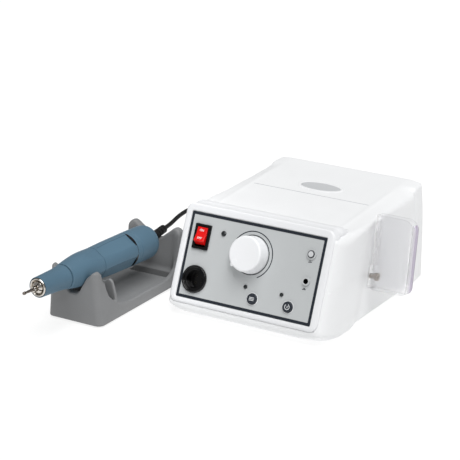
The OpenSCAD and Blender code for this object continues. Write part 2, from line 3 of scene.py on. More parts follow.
import bmesh
import bpy
import numpy as np
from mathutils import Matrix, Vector


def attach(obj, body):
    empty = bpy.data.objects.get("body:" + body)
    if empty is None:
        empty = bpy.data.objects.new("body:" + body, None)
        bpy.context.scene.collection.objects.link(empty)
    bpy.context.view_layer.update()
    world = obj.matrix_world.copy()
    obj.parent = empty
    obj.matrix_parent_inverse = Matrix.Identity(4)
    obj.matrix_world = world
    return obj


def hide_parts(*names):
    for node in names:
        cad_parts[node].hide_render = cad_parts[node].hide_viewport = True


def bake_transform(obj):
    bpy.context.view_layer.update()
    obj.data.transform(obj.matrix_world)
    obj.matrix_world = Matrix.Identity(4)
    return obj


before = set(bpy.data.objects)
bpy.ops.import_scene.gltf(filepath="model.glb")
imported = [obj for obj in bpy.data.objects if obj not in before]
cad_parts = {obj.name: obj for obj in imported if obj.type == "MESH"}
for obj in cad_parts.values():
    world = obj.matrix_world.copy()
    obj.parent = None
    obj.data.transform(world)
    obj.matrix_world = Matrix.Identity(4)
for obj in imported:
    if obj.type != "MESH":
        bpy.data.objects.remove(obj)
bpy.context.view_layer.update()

# Lengths below are in millimetres, in the part's own frame, and become metres when a mesh is made.
MM = 0.001
scene = bpy.context.scene


# ------------------------------------------------------------------ frames
def rx(deg):
    a = math.radians(deg)
    return np.array([[1, 0, 0], [0, math.cos(a), -math.sin(a)], [0, math.sin(a), math.cos(a)]])


def rz(deg):
    a = math.radians(deg)
    return np.array([[math.cos(a), -math.sin(a), 0], [math.sin(a), math.cos(a), 0], [0, 0, 1]])


class Place:
    """A local frame: local point @ turn + origin gives the part's frame."""

    def __init__(self, turn, origin):
        self.m, self.o = np.asarray(turn, float), np.asarray(origin, float)

    def __call__(self, p):
        return np.asarray(p, float) @ self.m.T + self.o

    def inverse(self, p):
        return (np.asarray(p, float) - self.o) @ self.m

    def then(self, turn, origin):
        return Place(self.m @ np.asarray(turn, float), self(origin))


EYE = np.eye(3)
TILT = 22.7
WORLD = Place(EYE, (0, 0, 0))
UNIT = Place(EYE, (20, -18, 0))
PANEL = Place(rx(90 - TILT), (20, -18, 50))
STAND = Place(EYE, (-104.5, -24, 0))
HAND = Place(rz(-1.1) @ rx(-92.6), (-105.5, -135.2, 45.6))
RELIEF = HAND.then(rx(10), (0, 0, 151.2))
HOLDER = Place(rx(-9.8), (95.3, 49, 36))
TOP = UNIT.then(rx(math.degrees(math.atan(4 / 61))), (0, 116, 85.1))


def at_panel(p, w=0.0):
    return PANEL.then(EYE, (p[0], p[1], w))


# ------------------------------------------------------------------ camera and floor
cam_data = bpy.data.cameras.new("camera")
cam_data.lens, cam_data.sensor_width, cam_data.clip_end = 149.58, 36.0, 60.0
camera = bpy.data.objects.new("camera", cam_data)
scene.collection.objects.link(camera)
eye, aim = Vector((0.763011, -1.250807, 0.603496)), Vector((0.001198, -0.018, 0.078379))
camera.location = eye
camera.rotation_euler = (aim - eye).to_track_quat("-Z", "Y").to_euler()
scene.camera = camera


# ------------------------------------------------------------------ materials
def lin(r, g, b):
    def one(v):
        v /= 255.0
        return v / 12.92 if v <= 0.04045 else ((v + 0.055) / 1.055) ** 2.4
    return one(r), one(g), one(b)


def material(name, rgb, rough=0.5, metal=0.0, var=0.03, var_scale=45.0, grain=0.12, grain_scale=1500.0, depth=0.04,
             rough_var=0.05, spec=0.5, stretch=(1, 1, 1), edge=0.0, trans=0.0, ior=1.5, coat=0.0, tint=None, alpha=None):
    """Moulded or machined finish: cloudy colour, uneven gloss and a fine surface grain, all from noise in object space;
    the edge option paints a highlight on sharp convex edges.
    """
    m = bpy.data.materials.new(name)
    m.use_nodes = True
    nt = m.node_tree
    b = nt.nodes["Principled BSDF"]
    link = nt.links.new
    co = nt.nodes.new("ShaderNodeTexCoord")
    mp = nt.nodes.new("ShaderNodeMapping")
    mp.inputs["Scale"].default_value = stretch
    link(co.outputs["Object"], mp.inputs["Vector"])
    big = nt.nodes.new("ShaderNodeTexNoise")
    big.inputs["Scale"].default_value, big.inputs["Detail"].default_value = var_scale, 3.0
    link(mp.outputs["Vector"], big.inputs["Vector"])
    ramp = nt.nodes.new("ShaderNodeValToRGB")
    base = np.array(lin(*rgb))
    lo, hi = np.clip(base * (1 - var), 0, 1), np.clip(base * (1 + var), 0, 1)
    ramp.color_ramp.elements[0].position, ramp.color_ramp.elements[1].position = 0.3, 0.7
    ramp.color_ramp.elements[0].color = (*lo, 1)
    ramp.color_ramp.elements[1].color = (*hi, 1)
    link(big.outputs["Fac"], ramp.inputs["Fac"])
    colour = ramp.outputs["Color"]
    share = None
    if tint:
        # a second colour where the part's frame lies beyond each (direction, from, to)
        for direction, lo_at, hi_at in tint[1:]:
            dot = nt.nodes.new("ShaderNodeVectorMath")
            dot.operation = "DOT_PRODUCT"
            dot.inputs[1].default_value = direction
            link(co.outputs["Object"], dot.inputs[0])
            fade = nt.nodes.new("ShaderNodeMapRange")
            fade.inputs["From Min"].default_value, fade.inputs["From Max"].default_value = lo_at * MM, hi_at * MM
            link(dot.outputs["Value"], fade.inputs["Value"])
            if share is None:
                share = fade.outputs["Result"]
            else:
                both = nt.nodes.new("ShaderNodeMath")
                both.operation = "MULTIPLY"
                link(share, both.inputs[0])
                link(fade.outputs["Result"], both.inputs[1])
                share = both.outputs["Value"]
        two = nt.nodes.new("ShaderNodeMixRGB")
        two.inputs["Color2"].default_value = (*lin(*tint[0]), 1)
        link(share, two.inputs["Fac"])
        link(colour, two.inputs["Color1"])
        colour = two.outputs["Color"]
    # painted highlight: sharp convex edges (high pointiness) are mixed towards a lighter colour
    if edge:
        geo = nt.nodes.new("ShaderNodeNewGeometry")
        sharp = nt.nodes.new("ShaderNodeMapRange")
        sharp.inputs["From Min"].default_value, sharp.inputs["From Max"].default_value = 0.52, 0.62
        sharp.inputs["To Min"].default_value, sharp.inputs["To Max"].default_value = 0.0, edge
        link(geo.outputs["Pointiness"], sharp.inputs["Value"])
        mix = nt.nodes.new("ShaderNodeMixRGB")
        mix.inputs["Color2"].default_value = (*np.clip(base * 1.5 + 0.05, 0, 1), 1)
        link(sharp.outputs["Result"], mix.inputs["Fac"])
        link(colour, mix.inputs["Color1"])
        colour = mix.outputs["Color"]
    link(colour, b.inputs["Base Color"])
    fine = nt.nodes.new("ShaderNodeTexNoise")
    fine.inputs["Scale"].default_value, fine.inputs["Detail"].default_value = grain_scale, 2.0
    link(mp.outputs["Vector"], fine.inputs["Vector"])
    span = nt.nodes.new("ShaderNodeMapRange")
    span.inputs["From Min"].default_value, span.inputs["From Max"].default_value = 0.3, 0.7
    span.inputs["To Min"].default_value, span.inputs["To Max"].default_value = max(rough - rough_var, 0.02), min(rough + rough_var, 1.0)
    link(fine.outputs["Fac"], span.inputs["Value"])
    link(span.outputs["Result"], b.inputs["Roughness"])
    if grain:
        bump = nt.nodes.new("ShaderNodeBump")
        bump.inputs["Strength"].default_value = grain
        bump.inputs["Distance"].default_value = depth * MM
        link(fine.outputs["Fac"], bump.inputs["Height"])
        link(bump.outputs["Normal"], b.inputs["Normal"])
    b.inputs["Metallic"].default_value = metal
    b.inputs["Specular IOR Level"].default_value = spec
    b.inputs["IOR"].default_value = ior
    if trans:
        b.inputs["Transmission Weight"].default_value = trans
    if alpha:
        solid = nt.nodes.new("ShaderNodeMapRange")
        solid.inputs["To Min"].default_value, solid.inputs["To Max"].default_value = alpha
        link(share, solid.inputs["Value"])
        link(solid.outputs["Result"], b.inputs["Alpha"])
    if coat:
        b.inputs["Coat Weight"].default_value = coat
        b.inputs["Coat Roughness"].default_value = 0.12
    return m


M = {
    "case_white": material("case_white", (240, 241, 242), 0.42, var=0.010, grain=0.08, grain_scale=1300, depth=0.03, spec=0.35),
    "bezel_white": material("bezel_white", (236, 237, 239), 0.38, var=0.010, grain=0.06, grain_scale=1300, depth=0.03, spec=0.35),
    # seam_shade_grey: painted shade for the joint groove across the top
    "seam_shade_grey": material("seam_shade_grey", (200, 202, 205), 0.6, var=0.02, grain=0.05, spec=0.2),
    "panel_grey": material("panel_grey", (190, 193, 194), 0.46, metal=0.0, var=0.02, var_scale=25, grain=0.10, grain_scale=2200, depth=0.02, spec=0.3),
    "rear_grey": material("rear_grey", (186, 189, 191), 0.45, metal=0.25, var=0.03, grain=0.10, grain_scale=1800, stretch=(0.15, 1, 1)),
    # edge= paints a highlight on sharp convex edges
    "black_plastic": material("black_plastic", (8, 8, 9), 0.28, var=0.12, grain=0.08, grain_scale=1400, spec=0.3, edge=0.25),
    "socket_black": material("socket_black", (3, 3, 4), 0.2, var=0.12, grain=0.03, grain_scale=1400, spec=0.4),
    "red_plastic": material("red_plastic", (214, 16, 14), 0.3, var=0.05, grain=0.05, grain_scale=1200, spec=0.35),
    "knob_white": material("knob_white", (236, 237, 239), 0.4, var=0.01, grain=0.10, grain_scale=1500, depth=0.03, spec=0.35),
    "white_plastic": material("white_plastic", (232, 233, 234), 0.35, var=0.02, grain=0.08),
    "lamp_dark": material("lamp_dark", (34, 38, 40), 0.16, var=0.15, var_scale=300, grain=0.03, spec=0.5),
    "key_dark": material("key_dark", (42, 47, 55), 0.45, var=0.05, grain=0.15, grain_scale=1600, spec=0.3),
    # dark_print_and_shade: dark print, and also the painted shade ring round the knob's base
    "dark_print_and_shade": material("dark_print_and_shade", (36, 41, 49), 0.5, var=0.06, var_scale=90, grain=0.06, spec=0.25),
    "print_pale": material("print_pale", (232, 234, 236), 0.5, var=0.02, var_scale=90, grain=0.06, spec=0.25),
    "board_green": material("board_green", (24, 96, 52), 0.4, var=0.12, var_scale=120, grain=0.1),
    "steel": material("steel", (188, 190, 192), 0.3, metal=1.0, var=0.05, grain=0.06, grain_scale=900, stretch=(1, 1, 4)),
    "bur_steel": material("bur_steel", (126, 118, 112), 0.3, metal=1.0, var=0.08, grain=0.06, grain_scale=900, stretch=(1, 1, 4)),
    "screw_steel": material("screw_steel", (182, 175, 168), 0.32, metal=1.0, var=0.06, grain=0.05, grain_scale=900),
    "chrome": material("chrome", (206, 201, 194), 0.12, metal=1.0, var=0.04, grain=0.02, grain_scale=700, rough_var=0.03),
    "pin_dark": material("pin_dark", (58, 54, 48), 0.35, metal=0.8, var=0.1, grain=0.03),
    "gold": material("gold", (214, 178, 96), 0.25, metal=1.0, var=0.05, grain=0.03),
    "alu": material("alu", (190, 192, 194), 0.4, metal=1.0, var=0.05, grain=0.1, stretch=(1, 6, 1)),
    "core": material("core", (86, 88, 92), 0.5, metal=0.7, var=0.15, var_scale=200, grain=0.3, grain_scale=900, stretch=(1, 8, 1)),
    "copper": material("copper", (186, 112, 60), 0.35, metal=0.9, var=0.1, grain=0.3, grain_scale=700, stretch=(6, 1, 1)),
    # edge= paints a highlight on sharp convex edges
    "rubber_black": material("rubber_black", (14, 14, 15), 0.5, var=0.12, grain=0.15, grain_scale=1800, spec=0.3, edge=0.10),
    "cord_black": material("cord_black", (13, 13, 14), 0.36, var=0.1, grain=0.10, grain_scale=1800, spec=0.4),
    "clear": material("clear", (236, 236, 238), 0.04, var=0.004, grain=0.01, grain_scale=500, rough_var=0.01, trans=1.0, ior=1.3, alpha=(0.4, 0.92),
                      tint=((170, 154, 184), ((1, 0, 0), 128.6, 129.6), ((0, 0.9854, -0.1702), 40.2, 42.4))),
    "stand_grey": material("stand_grey", (124, 125, 126), 0.52, var=0.03, grain=0.16, grain_scale=1500, depth=0.04, spec=0.3),
    "hand_blue": material("hand_blue", (80, 108, 126), 0.46, var=0.02, grain=0.12, grain_scale=1700, depth=0.03, spec=0.3),
    # flat_shade_blue: painted shade for the creases at the handpiece flats
    "flat_shade_blue": material("flat_shade_blue", (56, 77, 91), 0.6, var=0.04, grain=0.05, spec=0.2),
    "button_grey": material("button_grey", (206, 208, 210), 0.4, var=0.02, grain=0.08),
    "fuse_glass": material("fuse_glass", (215, 225, 226), 0.1, var=0.02, grain=0.02, trans=0.6),
    "magnet": material("magnet", (70, 70, 74), 0.5, metal=0.4, var=0.1, grain=0.2),
    "carbon": material("carbon", (34, 34, 35), 0.6, var=0.15, grain=0.3),
    "plate_silver": material("plate_silver", (206, 208, 210), 0.36, metal=0.12, var=0.03, grain=0.08, grain_scale=1600, stretch=(0.12, 1, 1)),
}

NODE_LOOK = {
    "lower_case": "case_white", "upper_case": "case_white", "front_bezel": "bezel_white", "front_panel": "panel_grey",
    "rear_panel": "rear_grey", "switch_body": "black_plastic", "power_rocker": "red_plastic", "speed_pot": "steel",
    "pot_shaft": "steel", "pot_nut": "steel", "speed_knob": "knob_white", "handpiece_socket": "socket_black",
    "socket_contacts": "pin_dark", "indicator_lamps": "lamp_dark", "mode_button": "key_dark", "direction_button": "key_dark",
    "button_switches": "black_plastic", "control_board": "board_green", "reset_button": "button_grey",
    "breaker_body": "black_plastic", "foot_jack": "black_plastic", "heat_sink": "alu", "transformer_core": "core",
    "transformer_winding": "copper", "pan_screws": "steel", "mains_inlet": "black_plastic", "inlet_pins": "steel",
    "fuse_holder": "black_plastic", "fuse_cap": "black_plastic", "fuse": "fuse_glass", "rubber_feet": "rubber_black",
    "top_plate": "plate_silver", "clear_holder": "clear", "holder_screw": "screw_steel", "stand": "stand_grey",
    "stand_pads": "rubber_black", "nose_cone": "hand_blue", "twist_sleeve": "hand_blue", "motor_case": "hand_blue",
    "slot_ring": "black_plastic", "rear_cap": "hand_blue", "nose_ring": "chrome", "collet": "chrome", "bur": "bur_steel",
    "spindle": "steel", "spindle_bearings": "steel", "drive_coupling": "carbon", "motor_shaft": "steel",
    "armature": "copper", "commutator": "copper", "magnets": "magnet", "motor_bearings": "steel", "brushes": "carbon",
    "strain_relief": "rubber_black", "cord_lead": "cord_black", "cord_coil": "cord_black", "cord_tail": "cord_black",
    "plug_body": "black_plastic", "plug_pins": "gold",
}
for node_name, node_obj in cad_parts.items():
    node_obj.data.materials.clear()
    node_obj.data.materials.append(M[NODE_LOOK[node_name]])
    node_obj.data.polygons.foreach_set("material_index", [0] * len(node_obj.data.polygons))


def soften(name, width, segments=2, angle=40):
    """Rounds the hard edges of a CAD piece that stays in view."""
    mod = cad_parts[name].modifiers.new("soft_edges", "BEVEL")
    mod.width, mod.segments, mod.limit_method, mod.angle_limit = width * MM, segments, "ANGLE", math.radians(angle)
    mod.use_clamp_overlap = True
    mod.harden_normals = False


# ------------------------------------------------------------------ mesh making
def make(name, verts, faces, look, body, nodes=(), sharp=40.0, place=WORLD, fix_normals=True, ride=True):
    me = bpy.data.meshes.new(name)
    v = place(np.asarray(verts, float)) * MM
    if isinstance(faces, np.ndarray):
        me.from_pydata(v, [], faces)
    else:
        me.from_pydata([tuple(p) for p in v], [], faces)
    if fix_normals:
        bm = bmesh.new()
        bm.from_mesh(me)
        bmesh.ops.remove_doubles(bm, verts=bm.verts, dist=1e-7)
        bmesh.ops.recalc_face_normals(bm, faces=bm.faces)
        bm.to_mesh(me)
        bm.free()
    me.polygons.foreach_set("use_smooth", [True] * len(me.polygons))
    me.set_sharp_from_angle(angle=math.radians(sharp))
    me.materials.append(M[look])
    me.update()
    ob = bpy.data.objects.new(name, me)
    scene.collection.objects.link(ob)
    if nodes:
        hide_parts(*nodes)
    if ride:
        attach(ob, body)
    return ob


def fillet(pts, radius, seg=5, closed=False):
    """Rounds the corners of a 2-D outline. radius is one number, or one for each corner."""
    pts = [np.asarray(p, float) for p in pts]
    n = len(pts)
    rad = list(radius) if isinstance(radius, (list, tuple)) else [radius] * n
    out = []
    for i, p in enumerate(pts):
        if (not closed and i in (0, n - 1)) or rad[i] <= 0:
            out.append(p)
            continue
        a, b = pts[i - 1] - p, pts[(i + 1) % n] - p
        la, lb = np.linalg.norm(a), np.linalg.norm(b)
        if la < 1e-9 or lb < 1e-9:
            out.append(p)
            continue
        a, b = a / la, b / lb
        ang = math.acos(float(np.clip(a @ b, -1, 1)))
        if ang > math.pi - 0.03:
            out.append(p)
            continue
        cut = min(rad[i] / math.tan(ang / 2), la * 0.49, lb * 0.49)
        r = cut * math.tan(ang / 2)
        c = p + (a + b) / np.linalg.norm(a + b) * (r / math.sin(ang / 2))
        s, e = p + a * cut - c, p + b * cut - c
        turn = math.atan2(s[0] * e[1] - s[1] * e[0], s @ e)
        for k in range(seg + 1):
            t = turn * k / seg
            out.append(c + np.array([s[0] * math.cos(t) - s[1] * math.sin(t), s[0] * math.sin(t) + s[1] * math.cos(t)]))
    return np.array(out)


def lathe(profile, n=96, closed=True, mod=None, angles=None):
    """Turns (radius, height) points about the local z axis."""
    prof = np.asarray(profile, float)
    th = np.linspace(0, 2 * math.pi, n, endpoint=False) if angles is None else np.asarray(angles)
    n, m = len(th), len(prof)
    r = np.repeat(prof[:, :1], n, 1)
    z = np.repeat(prof[:, 1:], n, 1)
    if mod is not None:
        r = mod(np.repeat(th[None], m, 0), r, z)
    verts = np.stack([r * np.cos(th), r * np.sin(th), z], -1).reshape(-1, 3)
    faces = []
    for i in range(m if closed else m - 1):
        j = (i + 1) % m
        if prof[i, 0] < 1e-6 and prof[j, 0] < 1e-6:
            continue
        for k in range(n):
            l = (k + 1) % n
            if prof[i, 0] < 1e-6:
                faces.append((i * n, j * n + l, j * n + k))
            elif prof[j, 0] < 1e-6:
                faces.append((i * n + k, i * n + l, j * n))
            else:
                faces.append((i * n + k, i * n + l, j * n + l, j * n + k))
    used = sorted({v for f in faces for v in f})
    back = {v: i for i, v in enumerate(used)}
    return verts[used], [tuple(back[v] for v in f) for f in faces]


def join(*parts):
    verts, faces, base = [], [], 0
    for v, f in parts:
        verts.append(np.asarray(v, float))
        faces += [tuple(i + base for i in q) for q in f]
        base += len(v)
    return np.concatenate(verts), faces


def ribbon(points, width, lo, hi, closed=False):
    """A thin raised line of even width along a flat route."""
    p = np.asarray(points, float)
    n = len(p)
    if closed:
        t = np.roll(p, -1, 0) - np.roll(p, 1, 0)
    else:
        t = np.gradient(p, axis=0)
    t /= np.linalg.norm(t, axis=1)[:, None]
    s = np.stack([-t[:, 1], t[:, 0]], 1) * width / 2
    rows = [np.column_stack([q, np.full(n, h)]) for q, h in ((p - s, lo), (p - s * 0.9, hi), (p + s * 0.9, hi), (p + s, lo))]
    verts = np.stack(rows, 1).reshape(-1, 3)
    faces = []
    for i in range(n if closed else n - 1):
        j = (i + 1) % n
        for k in range(4):
            l = (k + 1) % 4
            faces.append((i * 4 + k, i * 4 + l, j * 4 + l, j * 4 + k))
    if not closed:
        faces += [(3, 2, 1, 0), tuple((n - 1) * 4 + k for k in range(4))]
    return verts, faces


def arc(c, r, a0, a1, n):
    t = np.radians(np.linspace(a0, a1, n))
    return np.stack([c[0] + r * np.cos(t), c[1] + r * np.sin(t)], 1)


def frame_plate(outer, inner, lo, hi):
    """A flat frame between two outlines that have the same number of points."""
    n = len(outer)
    rows = [np.column_stack([q, np.full(n, h)]) for q, h in ((outer, lo), (outer, hi), (inner, hi), (inner, lo))]
    verts = np.concatenate(rows)
    faces = []
    for k in range(4):
        for i in range(n):
            j = (i + 1) % n
            faces.append((k * n + i, k * n + j, ((k + 1) % 4) * n + j, ((k + 1) % 4) * n + i))
    return verts, faces


def rect(x, y, r, seg=5):
    return fillet([(-x, -y), (x, -y), (x, y), (-x, y)], r, seg, closed=True)


def tube(path, radius, sides=14):
    """A round tube along a route, with its ends closed."""
    p = np.asarray(path, float)
    t = np.gradient(p, axis=0)
    t /= np.linalg.norm(t, axis=1)[:, None]
    u = np.cross(t[0], (0, 0, 1.0))
    u /= np.linalg.norm(u)
    verts = []
    for i in range(len(p)):
        u = u - t[i] * (u @ t[i])
        u /= np.linalg.norm(u)
        v = np.cross(t[i], u)
        a = 2 * math.pi * np.arange(sides) / sides
        verts.append(p[i] + radius * (np.cos(a)[:, None] * u + np.sin(a)[:, None] * v))
    verts = np.concatenate(verts)
    faces = []
    for i in range(len(p) - 1):
        for k in range(sides):
            l = (k + 1) % sides
            faces.append((i * sides + k, i * sides + l, (i + 1) * sides + l, (i + 1) * sides + k))
    faces.append(tuple(range(sides))[::-1])
    faces.append(tuple((len(p) - 1) * sides + k for k in range(sides)))
    return verts, faces


# ------------------------------------------------------------------ shapes as distance fields
def rmax(a, b, r):
    return np.minimum(np.maximum(a, b), -r) + np.hypot(np.maximum(a + r, 0), np.maximum(b + r, 0))


def rmin(a, b, r):
    return np.maximum(np.minimum(a, b), r) - np.hypot(np.maximum(r - a, 0), np.maximum(r - b, 0))


def poly(px, py, pts):
    """Signed distance to a closed outline, negative inside."""
    pts = np.asarray(pts, float)
    px, py = np.broadcast_arrays(px, py)
    best = np.full(px.shape, 1e18)
    inside = np.zeros(px.shape, bool)
    for i in range(len(pts)):
        ax, ay = pts[i - 1]
        bx, by = pts[i]
        ex, ey = bx - ax, by - ay
        ll = ex * ex + ey * ey
        if ll < 1e-12:
            continue
        wx, wy = px - ax, py - ay
        t = np.clip((wx * ex + wy * ey) / ll, 0, 1)
        dx, dy = wx - ex * t, wy - ey * t
        best = np.minimum(best, dx * dx + dy * dy)
        cross = (ay > py) != (by > py)
        if ey != 0:
            inside ^= cross & (px < ax + (py - ay) * ex / ey)
    d = np.sqrt(best)
    return np.where(inside, -d, d)


def round_box2(x, y, hx, hy, r):
    qx, qy = np.abs(x) - hx + r, np.abs(y) - hy + r
    return np.minimum(np.maximum(qx, qy), 0) + np.hypot(np.maximum(qx, 0), np.maximum(qy, 0)) - r


def nets(fields, lo, hi, h, steps=4):
    """Meshes the solid where every field is below zero: one point in each cell that its surface crosses, moved onto the surface,
    or onto the edge where two fields meet."""
    lo, hi = np.asarray(lo, float), np.asarray(hi, float)
    n = np.ceil((hi - lo) / h).astype(int) + 1
    ax = [lo[i] + h * np.arange(n[i]) for i in range(3)]
    grid = np.meshgrid(*ax, indexing="ij", sparse=True)
    val = None
    for f in fields(*grid):
        f = np.broadcast_to(f, tuple(n))
        val = f.copy() if val is None else np.maximum(val, f)
    ins = val < 0
    cells = tuple(n - 1)
    acc = np.zeros(cells + (3,))
    cnt = np.zeros(cells)
    quads = []
    for d in range(3):
        a = [slice(None)] * 3
        b = [slice(None)] * 3
        a[d], b[d] = slice(0, -1), slice(1, None)
        a, b = tuple(a), tuple(b)
        hit = ins[a] != ins[b]
        i = np.argwhere(hit)
        va, vb = val[a][hit], val[b][hit]
        t = va / (va - vb)
        pos = i.astype(float)
        pos[:, d] += t
        o1, o2 = [k for k in range(3) if k != d]
        for s1 in (0, 1):
            for s2 in (0, 1):
                c = i.copy()
                c[:, o1] -= s1
                c[:, o2] -= s2
                ok = (c[:, o1] >= 0) & (c[:, o2] >= 0) & (c[:, o1] < cells[o1]) & (c[:, o2] < cells[o2])
                np.add.at(acc, tuple(c[ok].T), pos[ok])
                np.add.at(cnt, tuple(c[ok].T), 1)
        ok = (i[:, o1] > 0) & (i[:, o2] > 0) & (i[:, o1] < cells[o1]) & (i[:, o2] < cells[o2])
        quads.append((i[ok], d, ins[a][hit][ok]))
    has = cnt > 0
    index = np.full(cells, -1)
    index[has] = np.arange(has.sum())
    p = acc[has] / cnt[has][:, None] * h + lo
    faces = []
    for i, d, first in quads:
        o1, o2 = (d + 1) % 3, (d + 2) % 3
        ring = []
        for s1, s2 in ((1, 1), (0, 1), (0, 0), (1, 0)):
            c = i.copy()
            c[:, o1] -= s1
            c[:, o2] -= s2
            ring.append(index[tuple(c.T)])
        q = np.stack(ring, 1)
        q[~first] = q[~first][:, ::-1]
        faces.append(q)
    faces = np.concatenate(faces)
    step = 0.02
    for _ in range(steps):
        vals = np.stack([np.broadcast_to(f, len(p)) for f in fields(p[:, 0], p[:, 1], p[:, 2])], 1)
        grads = np.zeros(vals.shape + (3,))
        for k in range(3):
            q = p.copy()
            q[:, k] += step
            up = np.stack([np.broadcast_to(f, len(p)) for f in fields(q[:, 0], q[:, 1], q[:, 2])], 1)
            q[:, k] -= 2 * step
            dn = np.stack([np.broadcast_to(f, len(p)) for f in fields(q[:, 0], q[:, 1], q[:, 2])], 1)
            grads[:, :, k] = (up - dn) / (2 * step)
        top = vals.max(1, keepdims=True)
        live = (np.abs(vals) < 0.62 * h) | (vals >= top - 1e-9)
        grads = np.where(live[..., None], grads, 0.0)
        rhs = np.where(live, vals, 0.0)
        k = vals.shape[1]
        jj = grads @ grads.transpose(0, 2, 1) + np.eye(k) * 0.02
        move = (grads.transpose(0, 2, 1) @ np.linalg.solve(jj, rhs[..., None]))[..., 0]
        size = np.linalg.norm(move, axis=1, keepdims=True)
        p = p - move * np.minimum(1.0, 0.6 * h / np.maximum(size, 1e-9))
    return p, faces


# ------------------------------------------------------------------ cord
def spline(pts, n):
    p = np.asarray(pts, float)
    out = []
    for i in range(len(p) - 1):
        a, b, c, d = p[max(i - 1, 0)], p[i], p[i + 1], p[min(i + 2, len(p) - 1)]
        for k in range(n):
            t = k / n
            out.append(0.5 * (2 * b + (c - a) * t + (2 * a - 5 * b + 4 * c - d) * t * t + (3 * b - a - 3 * c + d) * t ** 3))
    out.append(p[-1])
    return np.array(out)


CORD_R = 1.85
relief_mouth = RELIEF((0, 0, 25.4))
lead = [RELIEF((0, 0, 25.4)), RELIEF((0, 0, 35.5)), (-102.2, 64, 46.2), (-101.8, 77, 47.6), (-101, 90, 46.8),
        (-99.6, 103, 43.8), (-97.4, 116, 38.9), (-94.5, 128, 32.6), (-91, 140, 25.4), (-86.5, 152, 18), (-80.5, 164.5, 11.2),
        (-73.5, 177, 6.2), (-66, 188, 3.2), (-57, 198, 2.3), (-48, 205, 2.2)]
COIL = np.array([-30.0, 186.0])


def coil_route():
    """Turns beside and on each other: three inward on the table, three outward on those, two inward on top."""
    rows = []
    per = 48
    start = math.radians(113.5)

    def lay(turns, r0, r1, z0, z1, a0):
        k = int(round(turns * per))
        for i in range(k):
            t = i / k
            a = a0 - 2 * math.pi * turns * t
            rise = min(1.0, t * turns / 0.22)
            rise = rise * rise * (3 - 2 * rise)
            rows.append((a, r0 + (r1 - r0) * t, z0 + (z1 - z0) * rise))
        return a0 - 2 * math.pi * turns

    a = lay(3.0, 25.2, 13.8, 2.2, 2.2, start)
    a = lay(3.0, 13.8, 25.2, 2.2, 5.95, a)
    a = lay(2.0, 25.2, 17.7, 5.95, 9.7, a)
    return np.array([(COIL[0] + r * math.cos(t), COIL[1] + r * math.sin(t), z) for t, r, z in rows]), a


turns, last_angle = coil_route()
tail = [(-36.4, 203.0, 9.7), (-29, 205.4, 10.4), (-21.5, 206.4, 11.9), (-14.5, 206.2, 12.3), (-8, 205.2, 11.2), (-3, 204.3, 9.3), (0.6, 204, 8.6)]
route = np.concatenate([spline(lead + [tuple(turns[0]), tuple(turns[4])], 7)[:-7], turns, spline([tuple(turns[-2]), tuple(turns[-1])] + tail, 6)[7:]])
seg = np.linalg.norm(np.diff(route, axis=0), axis=1)
route = route[np.concatenate([[True], seg > 0.05])]
s_at = np.concatenate([[0], np.cumsum(np.linalg.norm(np.diff(route, axis=0), axis=1))])
CORD_LENGTH = float(s_at[-1])
even = np.linspace(0, CORD_LENGTH, int(CORD_LENGTH / 2.2))
route = np.stack([np.interp(even, s_at, route[:, k]) for k in range(3)], 1)
for _ in range(2):
    route[1:-1] = 0.25 * route[:-2] + 0.5 * route[1:-1] + 0.25 * route[2:]
cv, cf = tube(route, CORD_R)
cord = make("handpiece_cord", cv, cf, "cord_black", None, ("cord_lead", "cord_coil", "cord_tail"), ride=False)
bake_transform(cord)

# tie round the coil
tie_dir = np.array([math.cos(math.radians(250)), math.sin(math.radians(250))])
tie_side = np.array([-tie_dir[1], tie_dir[0]])
loop = fillet([(11.5, 0.35), (27.5, 0.35), (27.5, 7.0), (25.2, 12.0), (13.8, 12.0), (11.5, 7.0)], 1.6, 6, closed=True)
tv, tf = [], []
nl = len(loop)
nrm = np.roll(loop, -1, 0) - np.roll(loop, 1, 0)
nrm = np.stack([nrm[:, 1], -nrm[:, 0]], 1) / np.linalg.norm(nrm, axis=1)[:, None]
section = [(-3.2, 0.0), (-2.9, 0.3), (2.9, 0.3), (3.2, 0.0), (2.9, -0.3), (-2.9, -0.3)]
for (q, m) in zip(loop, nrm):
    for across, out in section:
        rr, zz = q[0] + m[0] * out, q[1] + m[1] * out
        xy = COIL + tie_dir * rr + tie_side * across
        tv.append((xy[0], xy[1], max(zz, 0.05)))
ns = len(section)
for i in range(nl):
    for k in range(ns):
        j, l = (i + 1) % nl, (k + 1) % ns
        tf.append((i * ns + k, i * ns + l, j * ns + l, j * ns + k))
tie = make("cord_tie", tv, tf, "rubber_black", "cradle")

# plug: ribbed boot, knurled ring, shell
PLUG = Place(np.array([[0, 0, 1.0], [0, 1, 0], [-1, 0, 0]]), (0, 204, 8.6))
boot = [(0, 0), (2.5, 0)]
for i in range(4):
    z0 = 2.0 + i * 2.6
    boot += [(2.7 + i * 0.38, z0), (2.3 + i * 0.3, z0 + 0.5), (2.3 + i * 0.3, z0 + 1.0), (2.9 + i * 0.38, z0 + 1.5)]
boot += [(4.3, 13.4), (7.3, 14.6), (8.2, 16.2), (8.25, 17.0), (8.25, 29.6), (7.7, 30.4), (7.7, 31.2), (8.25, 32), (8.25, 37.6), (7.4, 38.4), (7.4, 46), (6.6, 46),
         (6.6, 42), (0, 42)]


def knurl(th, r, z):
    on = (z > 16.9) & (z < 29.7) & (r > 8)
    return np.where(on, r - 0.22 * (0.5 + 0.5 * np.cos(th * 40)), r)


pv, pf = lathe(fillet(boot, 0.25, 3), 160, closed=False, mod=knurl)
plug = make("cord_plug", pv, pf, "black_plastic", "cradle", ("plug_body",), place=PLUG)


# ------------------------------------------------------------------ control unit: case
SN, CS = math.sin(math.radians(TILT)), math.cos(math.radians(TILT))


def front_at(z, w):
    return (z - 50 - w * SN) / CS * SN - w * CS


BOSS = [(-62, 36), (62, 36), (-62, 150), (62, 150)]
FEET = [(-57, 7), (57, 7), (-57, 134), (57, 134)]


def smooth(t):
    t = np.clip(t, 0, 1)
    return t * t * (3 - 2 * t)


